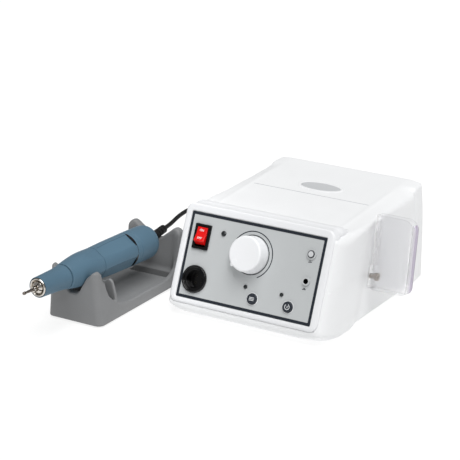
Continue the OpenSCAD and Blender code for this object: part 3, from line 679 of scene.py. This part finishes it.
def case_top(ax, y):
    """Height of the top: nearly level at the front, rising to the back, with a shoulder at each side."""
    mid = np.interp(y, [15, 45, 99, 163, 175], [82.0, 81.0, 84.0, 87.9, 88.6])
    t = np.clip((ax - 57) / 15, 0, 1.4)
    return mid - (mid - 81.3) * (0.42 * t + 0.58 * t * t) * (1 - 0.72 * smooth((y - 143) / 11)) + 0.4 * np.exp(-((ax - 58.5) / 1.9) ** 2) * smooth((y - 44) / 8) * smooth((141 - y) / 16)


def case_body(x, y, z):
    ax = np.abs(x)
    w = -y * CS + (z - 50) * SN
    half = 75 - 1.75 * (np.maximum(z - 43, 0) / 38.0) ** 2 - 2.0 * np.clip((y - 147) / 19, 0, 1.2)
    half = half + (2.1 + 1.0 * np.clip((43 - z) / 43, 0, 1)) * smooth((w + 60) / 18)
    f = rmax(ax - half, y - 168, 3.4)
    f = rmax(f, (z - case_top(ax, y)) * 0.96, 2.4 + 4.6 * smooth((66 - y) / 44))
    # front corners sweep back from the collar round the bezel
    near = 2.4 * smooth(-x / 30)
    u, v = np.maximum((ax - 69.9 + near) / 8.2, 0), np.maximum((w + 36) / 34.4, 0)
    q = np.maximum(np.hypot(u, v), 1e-4)
    f = rmax(f, (q - 1) * q / np.maximum(np.hypot(u / 8.2, v / 34.4), 1e-6), 1.2)
    # lip below the bezel, rounded under
    lip = -((y + 14.9) * 0.559 + (z - 8) * 0.829) - 1.6 * smooth((68 - ax) / 16)
    f = np.maximum(rmax(f, lip, 4.0), rmax(ax - half + 1.6 * near, lip, 13.0))
    f = rmax(f, 2 - z, 2.4)
    return f


def case_skin(x, y, z):
    f = case_body(x, y, z)
    hollow = 1.3 * np.exp(-((y - 149.5) / 2.1) ** 2) * smooth((np.abs(x) - 66) / 4) * smooth((z - 5) / 3)
    return f + hollow


def panel_axes(y, z):
    return y * SN + (z - 50) * CS, -y * CS + (z - 50) * SN


def window(x, y, z):
    p, w = panel_axes(y, z)
    hole = np.maximum(np.maximum(np.abs(x) - 60.5, np.abs(p) - 33), np.abs(w + 8) - 8)
    pocket = np.maximum(round_box2(x, p - 1.07, 69.78, 41.61, 7.2), np.abs(w - 2) - 10)
    return np.minimum(hole, pocket)


def upper_fields(x, y, z):
    oval = (np.hypot(x / 18.65, (y - 116) / 7.65) - 1) * 7.65
    pocket = np.maximum(oval, (85.1 - 0.72 + (y - 116) * 4 / 61) - z)
    body = case_skin(x, y, z)
    bosses = np.minimum.reduce([np.hypot(x - bx, y - by) - 4 for bx, by in BOSS])
    inner = np.minimum(-(body + 2.5), np.maximum(bosses, body + 1.2))
    return [body, inner, 43.02 - z, -window(x, y, z), -pocket]


def lower_fields(x, y, z):
    body = case_skin(x, y, z)
    boss = np.minimum.reduce([np.hypot(x - bx, y - by) - 5 for bx, by in BOSS])
    hole = np.minimum.reduce([np.hypot(x - bx, y - by) - 3.3 for bx, by in BOSS])
    hole = np.maximum(hole, z - 39.5)
    foot = np.maximum(np.minimum.reduce([np.hypot(x - bx, y - by) - 6.55 for bx, by in FEET]), z - 2.62)
    pivot = np.maximum(np.hypot(y - 67, z - 36) - 6, 62 - x)
    inner = np.minimum(-(body + 2.5), np.maximum(np.minimum(boss, pivot), body + 1.2))
    back = np.maximum(np.maximum(np.abs(x + 12) - 50.1, np.abs(z - 24.5) - 15.6), 160 - y)
    screw = np.maximum(np.hypot(y - 67, z - 36) - 2.1, 64 - x)
    return [body, inner, z - 42.98, -window(x, y, z), -np.minimum(hole, np.minimum(foot, screw)), -back]


H_CASE = 1.2
v, f = nets(upper_fields, (-78.33, -6.3, 41.9), (78.5, 170.2, 91.0), H_CASE)
make("upper_shell", v, f, "case_white", "unit", ("upper_case",), sharp=42, place=UNIT, fix_normals=False)
v, f = nets(lower_fields, (-78.33, -20.3, -0.11), (78.5, 170.2, 44.3), H_CASE)
make("lower_shell", v, f, "case_white", "unit", ("lower_case",), sharp=42, place=UNIT, fix_normals=False)
# fine joint line across the top: a grey strip whose darkness is painted shade, standing in for the shadow in the joint
# groove
v, f = ribbon(np.array([(-58.5, 98.4), (0.0, 98.4), (55.5, 98.4)]), 1.2, 83.2, float(case_top(0.0, 98.4)) + 0.03)
make("top_joint_shade", v, f, "seam_shade_grey", "unit", place=UNIT)


# front bezel with its brow, in the panel's own frame
BROW_Y = np.array([10, 18, 22.5, 25, 27.5, 30.5, 33.5, 36.5, 39.5, 42.5, 46, 60])
BROW_Z = np.array([83, 84.9, 86.2, 87.0, 87.4, 87.3, 86.5, 85.1, 83.4, 82.0, 80.6, 75])


def bezel_fields(x, y, w):
    slab = round_box2(x, y - 1.07, 69.74, 41.48, 7.2)
    slab = rmax(slab, w + 0.016 * np.maximum(np.abs(x) - 64, 0) ** 2 + 0.03 * np.maximum(-37 - y, 0) ** 2, 1.9)
    slab = rmax(slab, -8 - w, 0.6)
    yy = y * SN - w * CS
    zz = 50 + y * CS + w * SN
    brow = zz - np.interp(yy, BROW_Y, BROW_Z)
    brow = rmax(brow, np.abs(x) - 69.6, 6.5)
    brow = np.maximum(np.maximum(brow, w + 4), np.maximum(yy - 46.5, 79.5 - zz))
    f = rmin(slab, brow, 3.0)
    f = rmax(f, -np.maximum(round_box2(x, y, 63.6, 36.1, 0.9), -2.3 - w), 0.5)
    return [f, -np.maximum(np.abs(x) - 60.5, np.abs(y) - 33)]


v, f = nets(bezel_fields, (-70.7, -43.1, -32.3), (70.9, 47.9, 0.9), 0.7)
make("bezel_shell", v, f, "bezel_white", "unit", ("front_bezel",), sharp=42, place=PANEL, fix_normals=False)


# ------------------------------------------------------------------ panel prints, with a painted shade ring round the knob
FACE = -0.8
parts = [frame_plate(rect(63.2, 35.7, 0.8), rect(60.85, 33.35, 0.5), FACE - 0.05, FACE + 0.1)]
KNOB = (-1.2, 10.0)
parts.append(ribbon(arc(KNOB, 19.2, 200, -62, 90), 0.85, FACE - 0.05, FACE + 0.08))
# painted shade: a dark ring just outside the knob's base stands in for the shadow line where the knob meets the panel
parts.append(ribbon(arc(KNOB, 16.1, 0, 356.25, 96), 0.7, FACE - 0.05, FACE + 0.08, closed=True))
for cx, cy in ((52.0, 14.2), (51.6, -8.0)):
    parts.append(ribbon(np.array([(cx - 1.6, cy - 0.2), (cx + 1.6, cy + 0.1)]), 0.55, FACE - 0.05, FACE + 0.08))
    parts.append(ribbon(np.array([(cx - 0.9, cy + 0.8), (cx + 0.9, cy + 0.95)]), 0.5, FACE - 0.05, FACE + 0.08))
v, f = join(*parts)
make("panel_print_and_shade", v, f, "dark_print_and_shade", "unit", place=PANEL)
parts = [ribbon(arc(c, 4.95, 0, 352.5, 48), 0.6, FACE - 0.05, FACE + 0.1, closed=True) for c in ((7.6, -24.6), (40.7, -24.6))]
v, f = join(*parts)
make("key_rings", v, f, "print_pale", "unit", place=PANEL)
parts = [frame_plate(arc((52.2, 20.6), 4.3, 0, 352.5, 48), arc((52.2, 20.6), 3.04, 0, 352.5, 48), FACE - 0.05, 0.26),
         frame_plate(arc((52.5, -1.4), 3.3, 0, 352.5, 48), arc((52.5, -1.4), 2.2, 0, 352.5, 48), FACE - 0.05, 0.86)]
v, f = join(*parts)
make("control_rings", v, f, "panel_grey", "unit", place=PANEL)
RESET = at_panel((52.2, 20.6))
v, f = lathe(fillet([(0, -5.5), (2.38, -5.5), (2.38, 1.1), (2.0, 1.25), (0, 1.32)], [0, 0.1, 0.3, 0.5, 0], 4), 72, closed=False)
make("reset_cap", v, f, "button_grey", "reset_key", ("reset_button",), place=RESET)
v, f = lathe(fillet([(2.4, -3), (2.95, -3), (2.95, 0.95), (2.6, 1.2), (2.4, 1.1)], [0.05, 0.05, 0.2, 0.15, 0.05], 4, closed=True), 72)
make("reset_rim", v, f, "dark_print_and_shade", "reset_key", place=RESET)
# marks on the two keys: three short bars, and a turning arrow
bars = [ribbon(np.array([(-2.2, h), (2.2, h)]), 0.5, 0.4, 0.72) for h in (1.1, 0.0, -1.1)]
v, f = join(*bars)
make("mode_mark", v, f, "print_pale", "mode_key", place=at_panel((7.6, -24.6)))
arrow = [ribbon(arc((0, 0), 2.1, 130, 410, 28), 0.5, 0.4, 0.74), ribbon(np.array([(0.1, -0.9), (0.1, 0.9)]), 0.5, 0.4, 0.72),
         ribbon(np.array([(0.55, 2.35), (1.35, 1.6), (1.2, 0.7)]), 0.45, 0.4, 0.74)]
v, f = join(*arrow)
make("direction_mark", v, f, "print_pale", "direction_key", place=at_panel((40.7, -24.6)))


# ------------------------------------------------------------------ switch, rocker, knob, socket
def switch_fields(x, y, w):
    flange = rmax(round_box2(x, y, 7.5, 10.5, 0.9), w - 1.1, 0.55)
    flange = np.maximum(flange, FACE - w)
    shank = np.maximum(np.maximum(np.abs(x) - 6.5, np.abs(y) - 9.5), np.maximum(w - 0.2, -20 - w))
    f = np.minimum(flange, shank)
    mouth = np.maximum(np.maximum(np.abs(x) - 5.0, np.abs(y) - 8.2), -9 - w)
    return [rmax(f, -mouth, 0.35)]


v, f = nets(switch_fields, (-7.93, -10.93, -20.4), (7.95, 10.95, 1.6), 0.32)
SWITCH = at_panel((-49.7, 16))
make("switch_frame", v, f, "black_plastic", "unit", ("switch_body",), sharp=45, place=SWITCH, fix_normals=False)
ROCKER = at_panel((-49.7, 16), -3.6).then(rx(-16), (0, 0, 0))
rocker_line = fillet([(-7.3, 1.5), (-6.1, 7.3), (-4.4, 6.85), (-2.2, 6.5), (0, 6.3), (2.2, 6.5), (4.4, 6.85), (6.1, 7.3), (7.3, 1.5), (6, -1.5), (2, -3.5), (-2, -3.5), (-6, -1.5)],
                     [0.8, 0.7, 2, 3, 2.5, 3, 2, 0.7, 0.8, 0.5, 0.5, 0.5, 0.5], 4, closed=True)


def rocker_fields(x, y, w):
    return [rmax(poly(y, w, rocker_line), np.abs(x) - 4.7, 0.55)]


v, f = nets(rocker_fields, (-5.27, -7.77, -3.9), (5.3, 7.8, 7.8), 0.3)
make("rocker_cap", v, f, "red_plastic", "rocker", ("power_rocker",), sharp=50, place=ROCKER, fix_normals=False)


def word(name, text, height, place, look, body):
    """A plain word as a thin raised solid."""
    curve = bpy.data.curves.new(name, "FONT")
    curve.body, curve.size, curve.align_x, curve.align_y = text, height, "CENTER", "CENTER"
    curve.extrude, curve.resolution_u, curve.offset = 0.05, 3, 0.04
    tmp = bpy.data.objects.new(name + "_line", curve)
    scene.collection.objects.link(tmp)
    bpy.context.view_layer.update()
    me = bpy.data.meshes.new_from_object(tmp.evaluated_get(bpy.context.evaluated_depsgraph_get()))
    vv = np.array([p.co[:] for p in me.vertices])
    ff = [tuple(q.vertices) for q in me.polygons]
    bpy.data.objects.remove(tmp)
    bpy.data.meshes.remove(me)
    bpy.data.curves.remove(curve)
    return make(name, vv, ff, look, body, place=place)


word("mark_on", "ON", 2.5, ROCKER.then(rx(8), (0, 3.4, 6.72)), "print_pale", "rocker")
word("mark_off", "OFF", 2.5, ROCKER.then(rx(-8), (0, -3.4, 6.72)), "print_pale", "rocker")


def knob_fields(x, y, w):
    r = np.hypot(x, y)
    side = r - (15.5 - 0.085 * np.maximum(w, 0))
    body = rmax(side, w - 11.3 - 0.12 * (r / 14) ** 2, 1.5)
    body = rmax(body, -0.3 - w, 0.3)
    a = math.radians(226)
    u, s = x * math.cos(a) + y * math.sin(a), -x * math.sin(a) + y * math.cos(a)
    rib = rmax(np.abs(s) - 1.25, np.abs(u - 12.6) - 3.5, 1.0)
    rib = rmax(rib, np.abs(w - 8.6) - 2.4, 1.0)
    f = rmin(body, rib, 1.4)
    return [f, -np.maximum(r - 7, w - 4.6), -np.maximum(r - 3.05, w - 9.4)]


v, f = nets(knob_fields, (-17.1, -17.1, -0.9), (17.2, 17.2, 13.1), 0.45)
make("knob_cap", v, f, "knob_white", "knob", ("speed_knob",), sharp=50, place=at_panel(KNOB), fix_normals=False)

sock = fillet([(0, -8.25), (7.6, -8.25), (7.6, -0.5), (9.35, -0.4), (9.6, 1.15), (10.2, 1.5), (10.95, 1.3), (11.5, 0.5), (11.5, -0.8), (9.5, -0.8), (9.5, -24), (0, -24)],
              [0, 0.2, 0.35, 0.3, 0.4, 0.5, 0.5, 0.3, 0.1, 0.1, 0.3, 0], 4)
v, f = lathe(sock, 128, closed=False)
make("socket_shell", v, f, "socket_black", "unit", ("handpiece_socket",), place=at_panel((-48.8, -19.2)))

for name, width in (("rear_panel", 0.35), ("mains_inlet", 0.5), ("fuse_holder", 0.4), ("fuse_cap", 0.35), ("foot_jack", 0.25), ("breaker_body", 0.2), ("holder_screw", 0.3),
                    ("pan_screws", 0.3), ("inlet_pins", 0.3), ("plug_pins", 0.25), ("stand_pads", 0.3)):
    soften(name, width)

# bare oval plate on the top
rows = [(1.0, -0.7), (1.0, 0.2), (0.985, 0.36), (0.955, 0.44), (0.93, 0.4), (0.915, 0.3), (0.9, 0.28), (0.6, 0.32), (0.3, 0.34), (0.0, 0.35)]
n = 96
th = np.linspace(0, 2 * math.pi, n, endpoint=False)
v, f = [], []
for k, h in rows[:-1]:
    v += [(18.5 * k * math.cos(t) if k > 0.89 else 18.5 * k * math.cos(t), (7.5 - 18.5 * (1 - k) if k > 0.89 else 5.65 * k / 0.9) * math.sin(t), h) for t in th]
v.append((0, 0, rows[-1][1]))
m = len(rows) - 1
for i in range(m - 1):
    for k in range(n):
        l = (k + 1) % n
        f.append((i * n + k, i * n + l, (i + 1) * n + l, (i + 1) * n + k))
f += [((m - 1) * n + k, (m - 1) * n + (k + 1) % n, m * n) for k in range(n)]
f.append(tuple(range(n))[::-1])
make("oval_plate", v, f, "plate_silver", "unit", ("top_plate",), place=TOP)


rim = [(0.1, -0.5), (0.15, 0.12), (0.6, 0.42), (1.4, 0.5), (2.3, 0.4), (3.2, 0.12), (3.6, -0.5)]
v = [((18.5 + k) * math.cos(t), (7.5 + 0.72 * k) * math.sin(t), h) for k, h in rim for t in th]
f = [(i * n + k, i * n + (k + 1) % n, ((i + 1) % len(rim)) * n + (k + 1) % n, ((i + 1) % len(rim)) * n + k) for i in range(len(rim)) for k in range(n)]
make("oval_rim", v, f, "case_white", "unit", place=TOP)


# ------------------------------------------------------------------ clear side holder
holder_line = fillet([(2, -10.5), (35.7, -10.5), (35.7, 52), (2, 52)], [4, 6, 9.5, 0.6], 8, closed=True)


def holder_fields(x, y, z):
    f = rmax(poly(x, z, holder_line), np.abs(y) - 6, 0.9)
    disc = rmax(np.hypot(y, z) - 10.5, np.abs(x - 1.1) - 1.0, 0.3)
    f = rmin(f, disc, 0.6)
    room = rmax(round_box2(x - 18.35, z - 25.75, 15.35, 34.25, 2.0), np.abs(y) - 4, 0.8)
    return [rmax(f, -room, 0.5), -(np.maximum(np.hypot(y, z) - 2.06, x - 5))]


v, f = nets(holder_fields, (-0.5, -6.55, -11.15), (36.4, 6.6, 52.8), 0.62)
make("holder_shell", v, f, "clear", "holder", ("clear_holder",), sharp=50, place=HOLDER, fix_normals=False)


# ------------------------------------------------------------------ stand
def mirrored(pts):
    return pts + [(-x, y) for x, y in pts[::-1]]


front_wall = mirrored([(27, -4), (27, 40), (24.8, 43.4), (23.2, 45.7), (20.9, 46.9), (19, 46.1), (17.7, 44.8), (13.6, 41), (11.5, 38.8), (9.6, 36), (8.4, 33),
                       (7, 30.2), (5.2, 27.8), (3, 26.2)])
rear_wall = mirrored([(27, -4), (27, 42), (26.2, 45.6), (24, 48.2), (21.4, 49), (18.8, 48), (15.5, 45.2), (8, 39.4), (4.5, 37.2), (2, 36.6)])
rear_side = [(51, -4), (53, 52), (59.5, 52), (66, 9), (70, 9), (70, -4)]
saddle = mirrored([(25.8, 2), (26.2, 17.5), (23.9, 25), (21.9, 31.4), (20.6, 33.2), (18.4, 33.8), (16.4, 32.8), (14.2, 31.2), (6, 31.2)])
side_web = [(-74, -4), (-74, 44.4), (-55.6, 44.4), (-54.4, 41), (-53.8, 36), (-52.4, 29.5), (-49.6, 22.8), (-45, 18.4), (-40, 15), (-34, 12.2), (-27, 10.5), (-20, 10), (30, 10), (36, 11),
            (41, 12.8), (46, 16.2), (50, 21.5), (52, 28), (53.2, 36), (54, 43), (57, 43), (57, -4)]
room_line = [(11, 28), (11, 33), (12.4, 41.7), (13.8, 50.9), (14.4, 62), (14.9, 91.8), (15.4, 117), (15.4, 154.4)]
room_line = room_line + [(-r, z) for r, z in room_line[::-1]]


def stand_fields(x, y, z):
    x, y, z = np.broadcast_arrays(x, y, z)
    ax = np.abs(x)
    lean = (0.075 * (1 - smooth((y + 30) / 60)) + 0.012) * np.maximum(z, 0)
    plan = round_box2(ax + lean, y, 27.1, 66, 6)
    f = np.maximum(z - 8, -5 - z)
    f = rmin(f, rmax(poly(y, z, side_web), 22.9 - ax, 1.1), 2.2)
    f = rmin(f, rmax(poly(x, z, front_wall), y + 59, 1.6), 3.0)
    wall = rmax(poly(x, z, rear_wall), poly(y, z, rear_side), 2.2)
    f = rmin(f, wall, 6.0)
    f = rmin(f, rmax(poly(x, z, saddle), np.abs(y + 40.2) - 1.4, 0.9), 1.2)
    f = rmax(f, plan, 1.7)
    f = rmax(f, 1 - z, 0.7)
    world = STAND(np.stack([x, y, z], -1))
    q = HAND.inverse(world)
    room = poly(np.hypot(q[..., 0], q[..., 1]), q[..., 2], room_line)
    q = RELIEF.inverse(world)
    room = np.minimum(room, np.maximum(np.hypot(q[..., 0], q[..., 1]) - 4.1, np.abs(q[..., 2] - 16) - 18))
    f = rmax(f, -room, 0.8)
    slot = np.maximum(round_box2(x, y - 45.5, 19, 4, 1.0), np.maximum(z - 13, 3 - z))
    f = rmax(f, -slot, 0.35)
    pads = np.minimum.reduce([np.hypot(x - px, y - py) - 4.1 for px in (-20, 20) for py in (-58, 58)])
    return [f, -np.maximum(pads, z - 1.8)]


v, f = nets(stand_fields, (-27.63, -66.63, 0.35), (27.7, 66.7, 50.3), 0.75)
make("stand_shell", v, f, "stand_grey", "cradle", ("stand",), sharp=50, place=STAND, fix_normals=False)


# ------------------------------------------------------------------ handpiece
def turned(name, profile, radius, look, body, nodes, n=128, mod=None, angles=None, sharp=40, seg=4):
    v, f = lathe(fillet(profile, radius, seg, closed=True), n, True, mod, angles)
    return make(name, v, f, look, body, nodes, sharp=sharp, place=HAND)


turned("nose_shell", [(7.95, 0.7), (8.45, 0.55), (8.55, 3.4), (8.9, 13), (9.35, 23.6), (9.85, 29.0), (10.26, 32.4), (9.6, 32.55), (9.0, 33.0), (9.0, 78.4), (6.7, 78.4), (6.7, 6), (7.95, 5)],
       [0.15, 0.35, 6, 20, 20, 20, 0.35, 0.2, 0.1, 0.1, 0.1, 0.2, 0.2], "hand_blue", "handpiece", ("nose_cone",))
FLATS = [math.radians(a + 33) for a in (0, 90, 180, 270)]


def flat_cut(x, y, depth):
    return np.max([x * math.cos(a) + y * math.sin(a) for a in FLATS], 0) - depth


def sleeve_fields(x, y, z):
    r = np.hypot(x, y)
    out = np.interp(z, [33, 34.5, 36, 39, 41.7, 46, 50.9, 53.5, 56, 59, 62, 67, 72.8], [10.5, 10.85, 11.15, 11.6, 12.05, 12.7, 13.3, 13.6, 13.8, 13.92, 13.95, 13.9, 13.75])
    f = np.maximum(r - out, flat_cut(x, y, out - 1.1 * smooth((z - 50) / 22)))
    f = rmax(f, z - 72.8, 0.35)
    f = rmax(f, 33.4 - z, 0.5)
    return [f, 9.08 - r]


v, f = nets(sleeve_fields, (-14.43, -14.43, 32.7), (14.5, 14.5, 73.5), 0.52)
make("sleeve_shell", v, f, "hand_blue", "grip", ("twist_sleeve",), sharp=11, place=HAND, fix_normals=False)


def motor_fields(x, y, z):
    r = np.hypot(x, y)
    out = np.interp(z, [73.2, 91.8, 117.7], [13.75, 14.4, 14.75])
    flats = flat_cut(x, y, np.interp(z, [73.2, 116.6], [12.7, 13.4]))
    f = np.maximum(r - out, flats)
    f = rmax(rmax(f, z - 117.7, 0.2), 73.2 - z, 0.35)
    slots = []
    for a in FLATS:
        u, t = x * math.cos(a) + y * math.sin(a), -x * math.sin(a) + y * math.cos(a)
        slots.append(np.maximum(np.maximum(np.abs(t) - 6.9, 116.2 - z), 11.6 - u))
    bore = np.minimum(np.maximum(r - 12.0, 84 - z), r - 9.02)
    return [f, -np.minimum.reduce(slots), -bore]


v, f = nets(motor_fields, (-15.23, -15.23, 72.7), (15.3, 15.3, 119.6), 0.5)
make("motor_shell", v, f, "hand_blue", "handpiece", ("motor_case",), sharp=11, place=HAND, fix_normals=False)

turned("ring_shell", [(12.05, 116.0), (14.66, 116.0), (14.66, 118.0), (12.05, 118.0)], 0.1, "socket_black", "handpiece", ("slot_ring",))
# painted shade: thin dark blue tubes along the upper edge of each flat stand in for the shade at the flat's crease
shade_lines = []
for a in FLATS:
    for side in (-1,):
        zz = np.linspace(75, 116.0, 34)
        rr = np.interp(zz, [73.2, 91.8, 117.7], [13.75, 14.4, 14.75])
        half = np.arccos(np.interp(zz, [73.2, 116.6], [12.7, 13.4]) / rr)
        shade_lines.append(tube(np.stack([(rr - 0.05) * np.cos(a + side * half), (rr - 0.05) * np.sin(a + side * half), zz], 1), 0.15, 8))
v, f = join(*shade_lines)
make("flat_edge_shade", v, f, "flat_shade_blue", "handpiece", place=HAND)
turned("cap_shell", [(10.5, 117), (11.95, 117), (11.95, 118.05), (14.78, 118.05), (14.8, 123.3), (14.62, 123.55), (14.62, 123.8), (14.82, 124.05), (14.85, 129), (14.8, 141), (14.55, 146.4), (13.4, 149.6), (11.4, 151.0), (8, 151.4), (3.7, 151.4), (3.7, 146),
                     (12.2, 146), (12.2, 121), (10.5, 121)],
       [0.1, 0.1, 0.1, 0.35, 0.1, 0.05, 0.05, 0.1, 12, 12, 5, 4, 4, 3, 0.3, 0.1, 0.1, 0.1, 0.1], "hand_blue", "handpiece", ("rear_cap",))
turned("nose_chrome", [(4.95, 1.9), (5.55, 1.3), (6.1, 0.4), (6.6, -0.25), (7.2, -0.1), (7.65, 0.6), (7.85, 1.5), (7.85, 3.4), (4.95, 3.4)],
       [0.2, 0.4, 0.5, 0.4, 0.5, 0.6, 0.7, 0.1, 0.1], "chrome", "handpiece", ("nose_ring",))


def collet_fields(x, y, z):
    r = np.hypot(x, y)
    head = rmax(r - np.interp(z, [-5.8, -5.2, -1.6, 0.2, 3.9], [2.15, 2.5, 2.6, 4.75, 4.75]), -5.8 - z, 0.35)
    head = np.maximum(head, z - 3.9)
    cuts = [np.maximum(np.abs(-x * math.sin(a) + y * math.cos(a)) - 0.42, z - 2.4) for a in (math.radians(20), math.radians(110))]
    f = np.minimum(np.maximum(head, -np.minimum.reduce(cuts)), np.maximum(np.maximum(r - 1.95, 3.6 - z), z - 28))
    return [f, 1.2 - r]


v, f = nets(collet_fields, (-5.03, -5.03, -6.13), (5.1, 5.1, 28.4), 0.22)
make("collet_shell", v, f, "chrome", "rotor", ("collet",), sharp=40, place=HAND, fix_normals=False)
turned("bur_shell", [(0, -17.9), (0.9, -17.8), (1.3, -17.2), (1.35, -15.4), (0.95, -14.4), (0.95, -12.8), (1.17, -11.6), (1.17, 24), (0, 24)],
       [0, 0.3, 0.4, 0.4, 0.3, 0.4, 0.3, 0.1, 0], "bur_steel", "bur", ("bur",), n=48)


def relief_cut(th, r, z):
    # every second groove is open on the other two quarters
    row = np.floor((z - 5.5) / 4.0)
    groove = (z > 5.4) & (z < 23.0) & (r < 3.55)
    keep = np.cos(2 * th + np.pi * np.mod(row, 2)) > 0.6
    return np.where(groove & keep, 3.62, r)


prof = [(0, -0.6), (3.4, -0.6), (3.42, 2.4), (3.6, 3.1)]
for i in range(5):
    b = 3.2 + i * 4
    prof += [(3.72, b + 0.2), (3.72, b + 1.2), (3.72, b + 2.3), (3.64, b + 2.5), (3.0, b + 2.6), (3.0, b + 3.3), (3.64, b + 3.4)]
prof += [(3.72, 23.5), (3.72, 24.3), (3.55, 24.9), (3.1, 25.3), (2.4, 25.5), (1.7, 25.5), (0, 25.5)]
v, f = lathe(prof, 72, closed=False, mod=relief_cut)
base_v, base_f = lathe(fillet([(0, 144), (3.55, 144), (3.55, 151.6), (0, 151.7)], 0.2, 3), 48, closed=False)
world_v = np.concatenate([RELIEF(v), HAND(base_v)])
make("relief_shell", world_v, f + [tuple(i + len(v) for i in q) for q in base_f], "rubber_black", "handpiece", ("strain_relief",), sharp=35)


# ------------------------------------------------------------------ floor and light
floor_mesh = bpy.data.meshes.new("floor")
floor_mesh.from_pydata([(-8, -8, -0.0004), (8, -8, -0.0004), (8, 8, -0.0004), (-8, 8, -0.0004)], [], [(0, 1, 2, 3)])
floor = bpy.data.objects.new("floor", floor_mesh)
scene.collection.objects.link(floor)
floor_mat = bpy.data.materials.new("floor_pale")
floor_mat.use_nodes = True
fb = floor_mat.node_tree.nodes["Principled BSDF"]
fn = floor_mat.node_tree.nodes.new("ShaderNodeTexNoise")
fn.inputs["Scale"].default_value = 3.0
fr = floor_mat.node_tree.nodes.new("ShaderNodeMapRange")
fr.inputs["To Min"].default_value, fr.inputs["To Max"].default_value = 0.75, 0.85
floor_mat.node_tree.links.new(fn.outputs["Fac"], fr.inputs["Value"])
floor_mat.node_tree.links.new(fr.outputs["Result"], fb.inputs["Roughness"])
fb.inputs["Base Color"].default_value = (0.24, 0.24, 0.24, 1)
fb.inputs["Specular IOR Level"].default_value = 0.1
fb.inputs["Emission Color"].default_value = (1, 1, 1, 1)
fb.inputs["Emission Strength"].default_value = 0.8
floor_mesh.materials.append(floor_mat)

world = bpy.data.worlds.new("studio")
scene.world = world
world.use_nodes = True
bg = world.node_tree.nodes["Background"]
bg.inputs["Color"].default_value = (1.0, 1.0, 1.0, 1)
bg.inputs["Strength"].default_value = 0.28


def sun(name, direction, energy, angle):
    d = bpy.data.lights.new(name, "SUN")
    d.energy, d.angle = energy, math.radians(angle)
    ob = bpy.data.objects.new(name, d)
    ob.rotation_euler = Vector(direction).to_track_quat("-Z", "Y").to_euler()
    scene.collection.objects.link(ob)


sun("key", (-0.26, 0.2, -1.0), 2.6, 46)
spot = bpy.data.lights.new("stand_spot", "SPOT")
spot.energy, spot.spot_size, spot.spot_blend, spot.shadow_soft_size = 8.0, math.radians(17), 1.0, 0.08
spot_at = bpy.data.objects.new("stand_spot", spot)
spot_at.location = (0.30, -0.42, 0.50)
spot_at.rotation_euler = (Vector((-0.098, -0.012, 0.02)) - spot_at.location).to_track_quat("-Z", "Y").to_euler()
scene.collection.objects.link(spot_at)
scene.view_settings.view_transform = "Standard"
